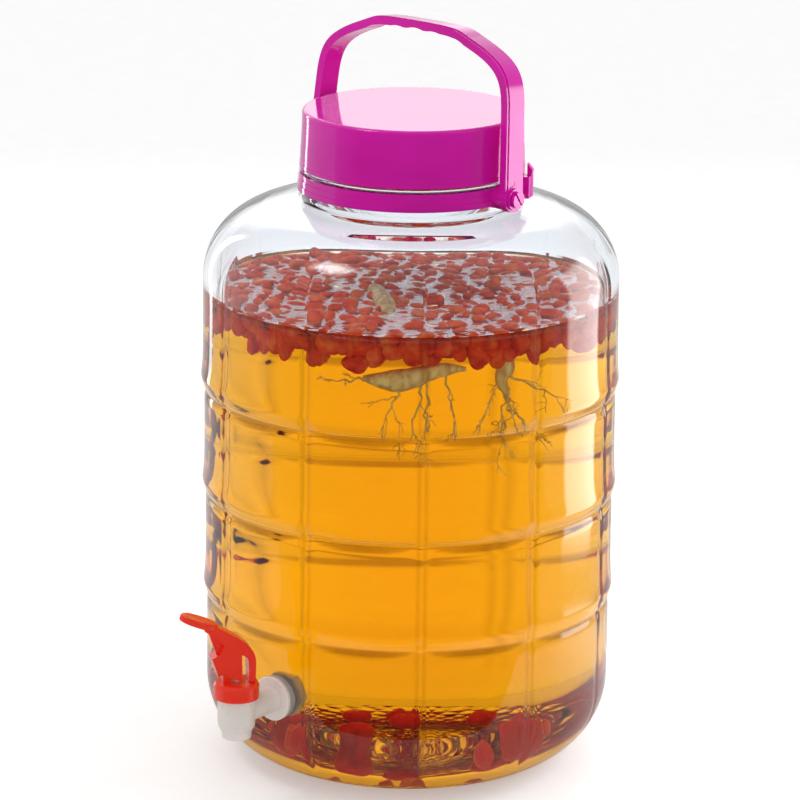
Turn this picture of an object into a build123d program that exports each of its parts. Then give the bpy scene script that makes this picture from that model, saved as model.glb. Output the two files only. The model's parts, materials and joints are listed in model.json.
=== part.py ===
"""Glass infusion jar with a screw lid, a bail handle on a neck collar and a push-lever spigot.

Millimetres, +Z up. The origin is the centre of the flat base. The spigot points along -Y.
"""
from build123d import *
import math
import os

# ---------------------------------------------------------------- jar: body
BODY_RADIUS = 125.6         # wall of the top tier
TIER_STEP = 0.7             # each lower tier is this much smaller in radius
BASE_TIER_HEIGHT = 102.5
TIER_PITCH = 65.0
UPPER_TIERS = 3
BASE_CORNER = 50.0          # radius of the rounded foot
SHOULDER_START = 300.6      # the wall turns into the shoulder here
SHOULDER_RADIUS = 43.3
SHOULDER_SLOPE = 12.0       # degrees of rise left where the shoulder meets the neck
WALL = 4.6
BASE_THICKNESS = 8.0
TIER_SWELL = 1.7            # how far each tier's foot stands over the tier below
SWELL_RISE = 13.0           # height over which a tier swells
SWELL_DROP = 4.5            # height over which it falls back below the seam
SWELL_PEAK = 3.6            # the swell is widest this far above the seam
PANEL_COUNT = 11
PANEL_PHASE = 9.6           # angle of the first vertical seam from -Y towards +X
SEAM_DEPTH = 0.9
SEAM_CUTTER_RADIUS = 9.0

# ---------------------------------------------------------------- jar: neck
NECK_WAIST_RADIUS = 64.0
COLLAR_SEAT_RISE = 5.6      # collar's lower edge above the end of the shoulder
BEAD_RADIUS = 67.3
BEAD_HEIGHT = 2.6
FINISH_RADIUS = 62.0        # neck above the bead, inside the lid
FINISH_HEIGHT = 30.0
MOUTH_RADIUS = 57.0
RIM_ROUND = 1.6

# ---------------------------------------------------------------- lid
LID_TOP_RADIUS = 66.5
LID_BOTTOM_RADIUS = 67.6
LID_RIM_RADIUS = 67.9
LID_RIM_HEIGHT = 2.6
LID_INNER_RADIUS = 64.8
LID_TOP_THICKNESS = 2.6
LID_EDGE_ROUND = 2.2
LID_RING_STEP = 0.25        # the fine rings on the lower half of the skirt
LID_RING_HEIGHTS = (11.0, 14.0, 19.0)
LINER_THICKNESS = 1.8
LINER_MARGIN = 0.6          # liner stays this far inside the glass rim's outside
LID_GAP = 0.3               # lid skirt above the bead

# ---------------------------------------------------------------- collar
COLLAR_HEIGHT = 10.6
COLLAR_RADIUS = 69.2
COLLAR_STEP = 0.5
COLLAR_PLAY = 0.4           # radial play round the neck
COLLAR_BEAD_GAP = 0.4
LUG_RADIUS = 7.4
POST_RADIUS = 4.0
POST_HEAD_RADIUS = 4.9
POST_HEAD_LENGTH = 2.0
POST_SLIT = 1.2
CLASP_ANGLE = 22.7          # clasp behind the pivot
CLASP_LENGTH = 9.0
CLASP_REACH = 5.6
CLASP_TIP_HEIGHT = 9.6
CLASP_SPLIT = 1.2

# ---------------------------------------------------------------- bail handle
BAIL_AZIMUTH = -3.0         # pivot axis, from +X
BAIL_LEAN = 5.0             # the handle leans towards +Y by this angle
BAIL_WIDTH = 15.0
BAIL_THICKNESS = 5.3
BAIL_RISE = 95.7            # pivot to the top of the arch
BAIL_HALF_SPAN = 77.5       # outside of the legs where the arch starts
BAIL_SPLAY = 3.0            # the legs stand this much wider at the pivots
BAIL_LEG = 43.0             # height of the straight legs
EYE_RADIUS = 8.0
EYE_BOSS_RADIUS = 6.6
EYE_BOSS_HEIGHT = 1.4
BAIL_SIDE_GAP = 0.5         # collar lug to the leg
POST_FIT = 0.06
LIP_WIDTH = 1.8
LIP_DEPTH = 0.6
GRIP_COUNT = 5
GRIP_PITCH = 14.0
GRIP_RADIUS = 20.0
GRIP_DEPTH = 1.0
RECESS_SIZE = (6.0, 8.0, 0.8)
RECESS_HEIGHT = 12.0

# ---------------------------------------------------------------- spigot
SPIGOT_HEIGHT = 63.5        # shank axis above the base
SPIGOT_REACH = 37.5         # barrel axis in front of the glass
SHANK_RADIUS = 8.0
TAIL_RADIUS = 7.6
SHANK_BORE = 5.0
HOLE_PLAY = 0.3
FLANGE_RADIUS = 13.6
FLANGE_THICKNESS = 2.6
OUTER_WASHER_THICKNESS = 3.7
WASHER_RADIUS = 13.2
INNER_WASHER_THICKNESS = 3.0
NUT_ACROSS_FLATS = 24.0
NUT_LENGTH = 8.0
TAIL_PAST_NUT = 4.0
BARREL_RADIUS = 11.3
BARREL_WALL = 3.1
BARREL_TOP_RADIUS = 10.6
BARREL_ABOVE_AXIS = 9.9     # shoulder under the bonnet
BARREL_THREAD = 6.2
BARREL_BELOW_AXIS = 15.0    # mouth of the nozzle
SEAT_BELOW_AXIS = 7.5
NOZZLE_RADIUS = 8.6
NOZZLE_BORE = 5.0
GASKET_THICKNESS = 1.4

BONNET_RADIUS = 13.6
BONNET_PLAY = 0.4
BONNET_PLATE = 2.2
GUIDE_RADIUS = 4.5
GUIDE_LENGTH = 5.0
TONGUE_WIDTH = 5.4
TONGUE_INNER = 3.8          # tongue face nearest the stem
TONGUE_LENGTH = 4.8

STEM_RADIUS = 2.2
STEM_FIT = 0.08
PLUG_RADIUS = 7.2
PLUG_HEIGHT = 5.0
RING_SEAL_RADIUS = 3.7
RING_SEAL_HEIGHT = 1.6
SPRING_RADIUS = 3.5
SPRING_WIRE = 0.45
SPRING_TURNS = 5.0

LEVER_TURN = -36.5          # lever's direction, from -Y towards +X
LEVER_WIDTH = 10.0
LEVER_CHEEK = 1.9
PIVOT_OUT = 6.2             # pivot outward of the stem
PIVOT_RISE = 6.8            # pivot above the bonnet's plate
LEVER_HEEL_GAP = 0.3
PIN_RADIUS = 1.5
PIN_FIT = 0.06
PIN_LENGTH = 8.4
BAR_RADIUS = 1.2
EYE_PLATE = 3.0
EYE_HALF_WIDTH = 3.4
EYE_HALF_HEIGHT = 3.0
EYE_SLOT_HALF = (2.1, 1.6)
PADDLE_HALF_LENGTH = 12.0
PADDLE_HALF_WIDTH = 8.0
PADDLE_THICKNESS = 4.4
PADDLE_SLOPE = 20.0
PADDLE_CENTRE = (22.6, 38.4)    # outward of the stem, above the bonnet's plate
PADDLE_DISH_RADIUS = 60.0
PADDLE_DISH_DEPTH = 0.7

# ---------------------------------------------------------------- contents
FILL_GAP = 0.3              # contents to glass and to each other
LIQUOR_LEVEL = 278.0        # underside of the floating layer
BERRY_LAYER = 13.0
BERRY_HALF = (6.2, 4.2)     # half length and half thickness of one berry
BERRY_LUMP_RADIUS = 5.0
BERRY_LUMP_RINGS = ((0.985, 24, 0.45), (0.85, 14, 0.9), (0.6, 9, 0.94), (0.3, 4, 0.9))
SUNK_RINGS = ((66.0, 17, 0.0), (52.0, 6, 12.0), (36.0, 3, 40.0))
ROOT_RADIUS = 7.5
ROOT_LENGTH = 58.0
ROOT_INSET = 37.6           # root axis inside the body's wall
ROOT_DEPTH = 12.0           # root axis below the floating layer
ROOT_TIP_RADIUS = 0.6
ROOTLET_RADIUS = 1.5
ROOTLET_TIP_RADIUS = 0.7
KNUCKLE_SWELL = 1.12        # knuckle radius over the rootlet's
SIDE_ROOT_RADIUS = 6.0
SIDE_ROOT_LENGTH = 26.0
SIDE_ROOT_INSET = 29.6

# ---------------------------------------------------------------- derived places
BASE_RADIUS = BODY_RADIUS - UPPER_TIERS * TIER_STEP
FOOT_RADIUS = BASE_RADIUS - BASE_CORNER
CAVITY_RADIUS = BASE_RADIUS - WALL
ROOT_DISTANCE = BODY_RADIUS - ROOT_INSET
SIDE_ROOT_DISTANCE = BODY_RADIUS - SIDE_ROOT_INSET
SLOPE = math.radians(SHOULDER_SLOPE)
SHOULDER_CENTRE = BODY_RADIUS - SHOULDER_RADIUS
SHOULDER_END_R = SHOULDER_CENTRE + SHOULDER_RADIUS * math.sin(SLOPE)
SHOULDER_END_Z = SHOULDER_START + SHOULDER_RADIUS * math.cos(SLOPE)
NECK_START = SHOULDER_END_Z + (SHOULDER_END_R - NECK_WAIST_RADIUS) * math.tan(SLOPE)
COLLAR_BOTTOM = NECK_START + COLLAR_SEAT_RISE
COLLAR_TOP = COLLAR_BOTTOM + COLLAR_HEIGHT
BEAD_BOTTOM = COLLAR_TOP + COLLAR_BEAD_GAP
BEAD_TOP = BEAD_BOTTOM + BEAD_HEIGHT
RIM_TOP = BEAD_TOP + FINISH_HEIGHT
LID_UNDERSIDE = RIM_TOP + LINER_THICKNESS
LID_TOP = LID_UNDERSIDE + LID_TOP_THICKNESS
LID_BOTTOM = BEAD_TOP + LID_GAP
PIVOT_Z = COLLAR_BOTTOM + COLLAR_HEIGHT / 2
LEG_OUTER = BAIL_HALF_SPAN + BAIL_SPLAY
LEG_INNER = LEG_OUTER - BAIL_THICKNESS
LUG_FACE = LEG_INNER - BAIL_SIDE_GAP

FLANGE_BACK = BASE_RADIUS + OUTER_WASHER_THICKNESS
FLANGE_FRONT = FLANGE_BACK + FLANGE_THICKNESS
BARREL_Y = BASE_RADIUS + SPIGOT_REACH
NUT_FACE = CAVITY_RADIUS - INNER_WASHER_THICKNESS
NUT_END = NUT_FACE - NUT_LENGTH
TAIL_END = NUT_END - TAIL_PAST_NUT
BARREL_SHOULDER = SPIGOT_HEIGHT + BARREL_ABOVE_AXIS
BARREL_TOP = BARREL_SHOULDER + BARREL_THREAD
NOZZLE_MOUTH = SPIGOT_HEIGHT - BARREL_BELOW_AXIS
SEAT_Z = SPIGOT_HEIGHT - SEAT_BELOW_AXIS
CHAMBER_RADIUS = BARREL_RADIUS - BARREL_WALL
PLATE_BOTTOM = BARREL_TOP + GASKET_THICKNESS
PLATE_TOP = PLATE_BOTTOM + BONNET_PLATE
GUIDE_BOTTOM = PLATE_BOTTOM - GUIDE_LENGTH
LEVER_PIVOT_Z = PLATE_TOP + PIVOT_RISE
LEVER_FRAME = Pos(0, -BARREL_Y, 0) * Rot(0, 0, LEVER_TURN - 90)


def tier_radius(tier):
    """Wall radius of a tier, counted from 0 at the base."""
    return BASE_RADIUS + tier * TIER_STEP


def revolved(edges):
    """Solid of revolution about Z from edges in the XZ plane, closed along the axis."""
    wire = Wire(edges)
    return revolve(make_face(wire), Axis.Z, 360)


def xz(radius, height):
    """A point of a profile in the XZ plane."""
    return Vector(radius, 0, height)


def polyline(points):
    """Straight edges through the points."""
    return [Line(a, b) for a, b in zip(points, points[1:])]


def turned(points):
    """Solid of revolution from a closed profile of straight lines."""
    corners = [xz(r, z) for r, z in points]
    return revolved(polyline(corners + corners[:1]))


def along_y(radius, y_from, y_to, height):
    """A cylinder along Y at x = 0, between two distances in front of the jar's axis."""
    length = abs(y_to - y_from)
    middle = -(y_from + y_to) / 2
    return Pos(0, middle, height) * Rot(90, 0, 0) * Cylinder(radius, length)


# ================================================================ glass jar
def outer_edges():
    """Outside of the jar from the centre of the base up to the neck's waist."""
    edges = [Line(xz(0, 0), xz(FOOT_RADIUS, 0))]
    corner = FOOT_RADIUS + BASE_CORNER * math.sin(math.radians(45))
    rise = BASE_CORNER * (1 - math.cos(math.radians(45)))
    edges.append(ThreePointArc(xz(FOOT_RADIUS, 0), xz(corner, rise), xz(BASE_RADIUS, BASE_CORNER)))
    height = BASE_CORNER
    for tier in range(UPPER_TIERS):
        seam = BASE_TIER_HEIGHT + tier * TIER_PITCH
        below = tier_radius(tier)
        above = tier_radius(tier + 1)
        edges.append(Line(xz(below, height), xz(below, seam - SWELL_DROP)))
        edges.append(Spline(
            [xz(below, seam - SWELL_DROP), xz(above + TIER_SWELL, seam + SWELL_PEAK), xz(above, seam + SWELL_RISE)],
            tangents=[xz(0, 1), xz(0, 1)],
        ))
        height = seam + SWELL_RISE
    middle = math.radians((90 + SHOULDER_SLOPE) / 2)
    edges.append(Line(xz(BODY_RADIUS, height), xz(BODY_RADIUS, SHOULDER_START)))
    edges.append(ThreePointArc(
        xz(BODY_RADIUS, SHOULDER_START),
        xz(SHOULDER_CENTRE + SHOULDER_RADIUS * math.sin(middle), SHOULDER_START + SHOULDER_RADIUS * math.cos(middle)),
        xz(SHOULDER_END_R, SHOULDER_END_Z),
    ))
    edges.append(Line(xz(SHOULDER_END_R, SHOULDER_END_Z), xz(NECK_WAIST_RADIUS, NECK_START)))
    return edges


def neck_edges():
    """Waist, bead and finish of the neck, up to the flat rim."""
    return polyline([
        xz(NECK_WAIST_RADIUS, NECK_START),
        xz(NECK_WAIST_RADIUS, BEAD_BOTTOM),
        xz(BEAD_RADIUS, BEAD_BOTTOM),
        xz(BEAD_RADIUS, BEAD_TOP),
        xz(FINISH_RADIUS, BEAD_TOP),
        xz(FINISH_RADIUS, RIM_TOP),
        xz(0, RIM_TOP),
        xz(0, 0),
    ])


def cavity(gap=0.0, level=None):
    """The inside of the jar, made smaller by a gap and cut off at a level."""
    wall = CAVITY_RADIUS - gap
    floor = BASE_THICKNESS + gap
    corner = BASE_CORNER - BASE_THICKNESS
    round_r = corner * math.sin(math.radians(45))
    round_z = corner * (1 - math.cos(math.radians(45)))
    edges = [
        Line(xz(0, floor), xz(wall - corner, floor)),
        ThreePointArc(xz(wall - corner, floor), xz(wall - corner + round_r, floor + round_z), xz(wall, floor + corner)),
    ]
    if level is not None:
        edges += polyline([xz(wall, floor + corner), xz(wall, level), xz(0, level), xz(0, floor)])
        return revolved(edges)
    inner = SHOULDER_RADIUS - WALL
    middle = math.radians((90 + SHOULDER_SLOPE) / 2)
    centre = wall - inner
    end_r = centre + inner * math.sin(SLOPE)
    end_z = SHOULDER_START + inner * math.cos(SLOPE)
    neck_z = end_z + (end_r - MOUTH_RADIUS) * math.tan(SLOPE)
    top = RIM_TOP + WALL
    edges.append(Line(xz(wall, floor + corner), xz(wall, SHOULDER_START)))
    edges.append(ThreePointArc(
        xz(wall, SHOULDER_START),
        xz(centre + inner * math.sin(middle), SHOULDER_START + inner * math.cos(middle)),
        xz(end_r, end_z),
    ))
    edges += polyline([
        xz(end_r, end_z), xz(MOUTH_RADIUS, neck_z), xz(MOUTH_RADIUS, top), xz(0, top), xz(0, floor),
    ])
    return revolved(edges)


def seam_cutters():
    """Upright rounded cutters, one run per tier at each vertical seam."""
    cutters = []
    for tier in range(UPPER_TIERS + 1):
        wall = tier_radius(tier)
        low = BASE_CORNER * 0.55 if tier == 0 else BASE_TIER_HEIGHT + (tier - 1) * TIER_PITCH - SWELL_DROP
        high = BASE_TIER_HEIGHT + tier * TIER_PITCH - SWELL_DROP
        if tier == UPPER_TIERS:
            high = SHOULDER_START + SHOULDER_RADIUS
        rod = Cylinder(SEAM_CUTTER_RADIUS, high - low)
        rod = Pos(0, -(wall + SEAM_CUTTER_RADIUS - SEAM_DEPTH), (low + high) / 2) * rod
        for number in range(PANEL_COUNT):
            cutters.append(Rot(0, 0, PANEL_PHASE + number * 360 / PANEL_COUNT) * rod)
    return cutters


def make_glass_jar():
    """One blown and pressed jar: tiers of pillow panels, shoulder, neck with bead, tap hole."""
    jar = revolved(outer_edges() + neck_edges())
    jar = jar - seam_cutters()
    jar = jar - cavity()
    rim = jar.edges().filter_by(GeomType.CIRCLE).group_by(Axis.Z)[-1]
    jar = fillet(rim, RIM_ROUND)
    return jar - along_y(SHANK_RADIUS + HOLE_PLAY, TAIL_END, FLANGE_FRONT, SPIGOT_HEIGHT)


# ================================================================ lid
def make_lid():
    """Screw lid: flat top, slightly flared skirt with fine rings and a rim bead."""
    height = LID_TOP - LID_BOTTOM
    points = [(LID_RIM_RADIUS, LID_BOTTOM), (LID_RIM_RADIUS, LID_BOTTOM + LID_RIM_HEIGHT)]
    flare = (LID_BOTTOM_RADIUS - LID_TOP_RADIUS) / height
    steps = len(LID_RING_HEIGHTS)
    for number, ring in enumerate(LID_RING_HEIGHTS):
        start = LID_RIM_HEIGHT if number == 0 else LID_RING_HEIGHTS[number - 1]
        proud = LID_RING_STEP * (steps - number) / steps
        points.append((LID_BOTTOM_RADIUS - flare * start - LID_RING_STEP + proud, LID_BOTTOM + start))
        points.append((LID_BOTTOM_RADIUS - flare * ring - LID_RING_STEP + proud, LID_BOTTOM + ring))
    points.append((LID_BOTTOM_RADIUS - flare * LID_RING_HEIGHTS[-1] - LID_RING_STEP, LID_BOTTOM + LID_RING_HEIGHTS[-1]))
    points.append((LID_TOP_RADIUS - LID_RING_STEP, LID_TOP))
    points.append((0, LID_TOP))
    points.append((0, LID_UNDERSIDE))
    points.append((LID_INNER_RADIUS, LID_UNDERSIDE))
    points.append((LID_INNER_RADIUS, LID_BOTTOM))
    lid = turned(points)
    top_edge = lid.edges().filter_by(GeomType.CIRCLE).group_by(Axis.Z)[-1]
    return fillet(top_edge, LID_EDGE_ROUND)


def make_liner():
    """Sealing disc between the glass rim and the lid."""
    liner = Cylinder(FINISH_RADIUS - LINER_MARGIN, LINER_THICKNESS)
    return Pos(0, 0, RIM_TOP + LINER_THICKNESS / 2) * liner


# ================================================================ collar
def bail_side(shape, side):
    """Place something built along +X at one of the two pivots."""
    return Rot(0, 0, BAIL_AZIMUTH + (0 if side > 0 else 180)) * shape


def along_x(radius, x_from, x_to, height):
    """A cylinder along X between two distances from the jar's axis."""
    return Pos((x_from + x_to) / 2, 0, height) * Rot(0, 90, 0) * Cylinder(radius, x_to - x_from)


def collar_post():
    """Lug with a snap post: a round post with a slit, wider head."""
    post_end = LEG_OUTER + EYE_BOSS_HEIGHT + LID_GAP
    lug = along_x(LUG_RADIUS, NECK_WAIST_RADIUS, LUG_FACE, PIVOT_Z)
    post = along_x(POST_RADIUS, LUG_FACE, post_end, PIVOT_Z)
    head = along_x(POST_HEAD_RADIUS, post_end, post_end + POST_HEAD_LENGTH, PIVOT_Z)
    slit_length = POST_HEAD_LENGTH + EYE_BOSS_HEIGHT
    slit = Box(slit_length, POST_SLIT, 4 * POST_HEAD_RADIUS)
    slit = Pos(post_end + POST_HEAD_LENGTH - slit_length / 2, 0, PIVOT_Z) * Rot(35, 0, 0) * slit
    return lug + post + head - slit


def clasp():
    """The band's clasp: two radial ears with a split between them and an upright hooked tip."""
    ear_height = COLLAR_HEIGHT + LID_RIM_HEIGHT
    inner = COLLAR_RADIUS - COLLAR_STEP * 3
    reach = COLLAR_RADIUS + CLASP_REACH - inner
    block = Box(reach, CLASP_LENGTH, ear_height)
    block = Pos(inner + reach / 2, 0, COLLAR_BOTTOM + ear_height / 2) * block
    outer = inner + reach
    tip = extrude(make_face(Polyline(
        xz(outer - CLASP_REACH / 2, COLLAR_BOTTOM + ear_height),
        xz(outer, COLLAR_BOTTOM + ear_height),
        xz(outer + 0.4, COLLAR_BOTTOM + ear_height + CLASP_TIP_HEIGHT * 0.35),
        xz(outer - CLASP_REACH / 2, COLLAR_BOTTOM + ear_height + CLASP_TIP_HEIGHT * 0.75),
        close=True,
    )), CLASP_LENGTH / 2 - CLASP_SPLIT, dir=(0, 1, 0))
    tip = Pos(0, CLASP_SPLIT / 2, 0) * tip
    split = Box(2 * reach, CLASP_SPLIT, 2 * ear_height)
    split = Pos(outer, 0, COLLAR_BOTTOM + ear_height) * split
    return Rot(0, 0, BAIL_AZIMUTH + CLASP_ANGLE) * (block + tip - split)


def make_collar():
    """Split band under the bead, with its steps, clasp and two pivot posts."""
    inner = NECK_WAIST_RADIUS + COLLAR_PLAY
    third = COLLAR_HEIGHT / 3
    points = [(inner, COLLAR_BOTTOM)]
    for step in range(3):
        radius = COLLAR_RADIUS - step * COLLAR_STEP
        points.append((radius, COLLAR_BOTTOM + step * third))
        points.append((radius, COLLAR_BOTTOM + (step + 1) * third))
    points.append((inner, COLLAR_TOP))
    band = turned(points)
    collar = band + bail_side(collar_post(), 1) + bail_side(collar_post(), -1) + clasp()
    waist = Pos(0, 0, PIVOT_Z) * Cylinder(inner, 4 * COLLAR_HEIGHT)
    over = Cylinder(LID_RIM_RADIUS + COLLAR_PLAY, 4 * COLLAR_HEIGHT, align=(Align.CENTER, Align.CENTER, Align.MIN))
    return collar - waist - Pos(0, 0, COLLAR_TOP) * over


# ================================================================ bail handle
def arch_face(inset):
    """Closed face of the arch's outline in the XZ plane, pulled in by an inset."""
    leg = BAIL_HALF_SPAN - inset
    foot = LEG_OUTER - inset
    top = BAIL_RISE - inset
    lean = Vector(leg - foot, 0, BAIL_LEG)
    turn = xz(leg * 0.886, BAIL_LEG + (top - BAIL_LEG) * 0.64)
    crown = xz(leg * 0.53, BAIL_LEG + (top - BAIL_LEG) * 0.915)
    right = Spline([xz(leg, BAIL_LEG), turn, crown, xz(0, top)], tangents=[lean.normalized(), xz(-1, 0)])
    edges = [Line(xz(foot, 0), xz(leg, BAIL_LEG)), right]
    edges += [edge.mirror(Plane.YZ) for edge in edges]
    edges.append(Line(xz(-foot, 0), xz(foot, 0)))
    return make_face(Wire(edges))


def make_bail():
    """The arched strap handle with eyes, finger grips and a stepped front edge."""
    inner = arch_face(BAIL_THICKNESS)
    main_width = BAIL_WIDTH - LIP_WIDTH
    main = extrude(arch_face(0) - inner, main_width / 2, both=True)
    main = Pos(0, LIP_WIDTH / 2, 0) * main
    lip = extrude(arch_face(LIP_DEPTH) - inner, LIP_WIDTH / 2, both=True)
    lip = Pos(0, -(BAIL_WIDTH - LIP_WIDTH) / 2, 0) * lip
    bail = main + lip
    grip = Rot(90, 0, 0) * Cylinder(GRIP_RADIUS, 2 * BAIL_WIDTH)
    for number in range(GRIP_COUNT):
        place = (number - (GRIP_COUNT - 1) / 2) * GRIP_PITCH
        crown_drop = place * place / (4 * BAIL_RISE)
        under = BAIL_RISE - BAIL_THICKNESS - crown_drop
        bail = bail - Pos(place, 0, under + GRIP_DEPTH - GRIP_RADIUS) * grip
    for side in (1, -1):
        eye = along_x(EYE_RADIUS, LEG_INNER, LEG_OUTER, 0)
        boss = along_x(EYE_BOSS_RADIUS, LEG_OUTER, LEG_OUTER + EYE_BOSS_HEIGHT, 0)
        below = Pos(LEG_INNER, 0, -2 * EYE_RADIUS) * Box(4 * BAIL_THICKNESS, 4 * EYE_RADIUS, 4 * EYE_RADIUS)
        size_y, size_z, depth = RECESS_SIZE
        recess = Pos(LEG_OUTER, -size_y / 2, RECESS_HEIGHT) * Box(2 * depth, size_y, size_z)
        bore = along_x(POST_RADIUS + POST_FIT, LEG_INNER - 1, LEG_OUTER + EYE_BOSS_HEIGHT + 1, 0)
        turn = Rot(0, 0, 0 if side > 0 else 180)
        mirror_recess = recess if side > 0 else mirror(recess, Plane.XZ)
        bail = bail - turn * below + turn * (eye + boss) - turn * mirror_recess - turn * bore
    bail = Rot(-BAIL_LEAN, 0, 0) * bail
    return Pos(0, 0, PIVOT_Z) * Rot(0, 0, BAIL_AZIMUTH) * bail


# ================================================================ spigot
def jar_outside():
    """Plain cylinder of the glass at the tap, for what is pressed against it."""
    return Cylinder(BASE_RADIUS, 2 * BASE_TIER_HEIGHT)


def make_spigot_body():
    """Moulded body: nozzle, barrel, shank, flange and the hollow tail through the glass."""
    barrel = turned([
        (0, NOZZLE_MOUTH),
        (NOZZLE_RADIUS, NOZZLE_MOUTH),
        (NOZZLE_RADIUS + 0.5, NOZZLE_MOUTH + 4.0),
        (BARREL_RADIUS - 0.5, SEAT_Z - 0.5),
        (BARREL_RADIUS, SEAT_Z + 4.0),
        (BARREL_RADIUS, BARREL_SHOULDER),
        (BARREL_TOP_RADIUS, BARREL_SHOULDER),
        (BARREL_TOP_RADIUS, BARREL_TOP),
        (0, BARREL_TOP),
    ])
    chamber = Cylinder(CHAMBER_RADIUS, BARREL_TOP - SEAT_Z, align=(Align.CENTER, Align.CENTER, Align.MIN))
    nozzle = Cylinder(NOZZLE_BORE, 4 * BARREL_BELOW_AXIS)
    barrel = Pos(0, -BARREL_Y, 0) * barrel
    shank = along_y(SHANK_RADIUS, FLANGE_BACK, BARREL_Y, SPIGOT_HEIGHT)
    flange = along_y(FLANGE_RADIUS, FLANGE_BACK, FLANGE_FRONT, SPIGOT_HEIGHT)
    flange = fillet(flange.edges().filter_by(GeomType.CIRCLE).sort_by(Axis.Y)[0], 0.9)
    tail = along_y(TAIL_RADIUS, TAIL_END, FLANGE_BACK, SPIGOT_HEIGHT)
    body = barrel + shank + flange + tail
    body = body - Pos(0, -BARREL_Y, SEAT_Z) * chamber
    body = body - Pos(0, -BARREL_Y, SEAT_Z - 2 * BARREL_BELOW_AXIS + 1) * nozzle
    return body - along_y(SHANK_BORE, TAIL_END - 1, BARREL_Y, SPIGOT_HEIGHT)


def make_outer_washer():
    """Soft washer that takes the jar's curve on one side and the flange on the other."""
    ring = along_y(WASHER_RADIUS, BASE_RADIUS - OUTER_WASHER_THICKNESS, FLANGE_BACK, SPIGOT_HEIGHT)
    ring = ring - along_y(SHANK_RADIUS + HOLE_PLAY, TAIL_END, FLANGE_FRONT, SPIGOT_HEIGHT)
    return ring - jar_outside()


def make_inner_washer():
    """Soft washer between the glass inside and the nut."""
    ring = along_y(WASHER_RADIUS, NUT_FACE, CAVITY_RADIUS + WALL / 2, SPIGOT_HEIGHT)
    ring = ring - along_y(TAIL_RADIUS + HOLE_PLAY, TAIL_END, FLANGE_FRONT, SPIGOT_HEIGHT)
    return ring & Cylinder(CAVITY_RADIUS, 2 * BASE_TIER_HEIGHT)


def make_nut():
    """Hexagon nut on the tail."""
    hexagon = extrude(RegularPolygon(NUT_ACROSS_FLATS / 2, 6, major_radius=False), NUT_LENGTH)
    nut = Pos(0, -NUT_END, SPIGOT_HEIGHT) * Rot(90, 0, 0) * hexagon
    return nut - along_y(TAIL_RADIUS + PIN_FIT, TAIL_END, FLANGE_BACK, SPIGOT_HEIGHT)


def make_barrel_gasket():
    """Flat ring between the barrel's mouth and the bonnet."""
    ring = Cylinder(BARREL_TOP_RADIUS, GASKET_THICKNESS) - Cylinder(CHAMBER_RADIUS, 2 * GASKET_THICKNESS)
    return Pos(0, -BARREL_Y, BARREL_TOP + GASKET_THICKNESS / 2) * ring


def make_bonnet():
    """Screw ring with its plate, stem guide and the tongue that carries the lever."""
    inner = BARREL_TOP_RADIUS + BONNET_PLAY
    ring = turned([
        (inner, BARREL_SHOULDER),
        (BONNET_RADIUS - 0.3, BARREL_SHOULDER),
        (BONNET_RADIUS, BARREL_SHOULDER + 1.0),
        (BONNET_RADIUS, PLATE_TOP - 2.0),
        (BONNET_RADIUS - 1.2, PLATE_TOP),
        (0, PLATE_TOP),
        (0, GUIDE_BOTTOM),
        (GUIDE_RADIUS, GUIDE_BOTTOM),
        (GUIDE_RADIUS, PLATE_BOTTOM),
        (inner, PLATE_BOTTOM),
    ])
    round_r = TONGUE_LENGTH / 2
    middle = TONGUE_INNER + round_r
    post = Pos(middle, 0, (PLATE_TOP + LEVER_PIVOT_Z) / 2) * Box(TONGUE_LENGTH, TONGUE_WIDTH, PIVOT_RISE)
    head = Pos(middle, 0, LEVER_PIVOT_Z) * Rot(90, 0, 0) * Cylinder(round_r, TONGUE_WIDTH)
    hole = Pos(PIVOT_OUT, 0, LEVER_PIVOT_Z) * Rot(90, 0, 0) * Cylinder(PIN_RADIUS + 0.03, 2 * TONGUE_WIDTH)
    guide = Pos(0, 0, PLATE_TOP) * Cylinder(STEM_RADIUS + STEM_FIT, 4 * GUIDE_LENGTH)
    seal = Cylinder(RING_SEAL_RADIUS, RING_SEAL_HEIGHT, align=(Align.CENTER, Align.CENTER, Align.MIN))
    bonnet = ring + post + head - hole - guide - Pos(0, 0, GUIDE_BOTTOM) * seal
    return LEVER_FRAME * bonnet


def make_ring_seal():
    """Ring seal round the stem, in the foot of the guide."""
    ring = Cylinder(RING_SEAL_RADIUS, RING_SEAL_HEIGHT) - Cylinder(STEM_RADIUS + STEM_FIT, 2 * RING_SEAL_HEIGHT)
    return LEVER_FRAME * Pos(0, 0, GUIDE_BOTTOM + RING_SEAL_HEIGHT / 2) * ring


def make_stem():
    """Valve stem: a rod with a slotted eye that the lever's bar lifts."""
    foot = SEAT_Z + PLUG_HEIGHT * 0.4
    neck = LEVER_PIVOT_Z - EYE_SLOT_HALF[1] - 0.6
    rod = Cylinder(STEM_RADIUS, neck - foot, align=(Align.CENTER, Align.CENTER, Align.MIN))
    eye = Pos(0, 0, LEVER_PIVOT_Z) * Box(2 * EYE_HALF_WIDTH, EYE_PLATE, 2 * EYE_HALF_HEIGHT)
    slot = Pos(0, 0, LEVER_PIVOT_Z) * Box(2 * EYE_SLOT_HALF[0], 2 * EYE_PLATE, 2 * EYE_SLOT_HALF[1])
    return LEVER_FRAME * (Pos(0, 0, foot) * rod + eye - slot)


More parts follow.
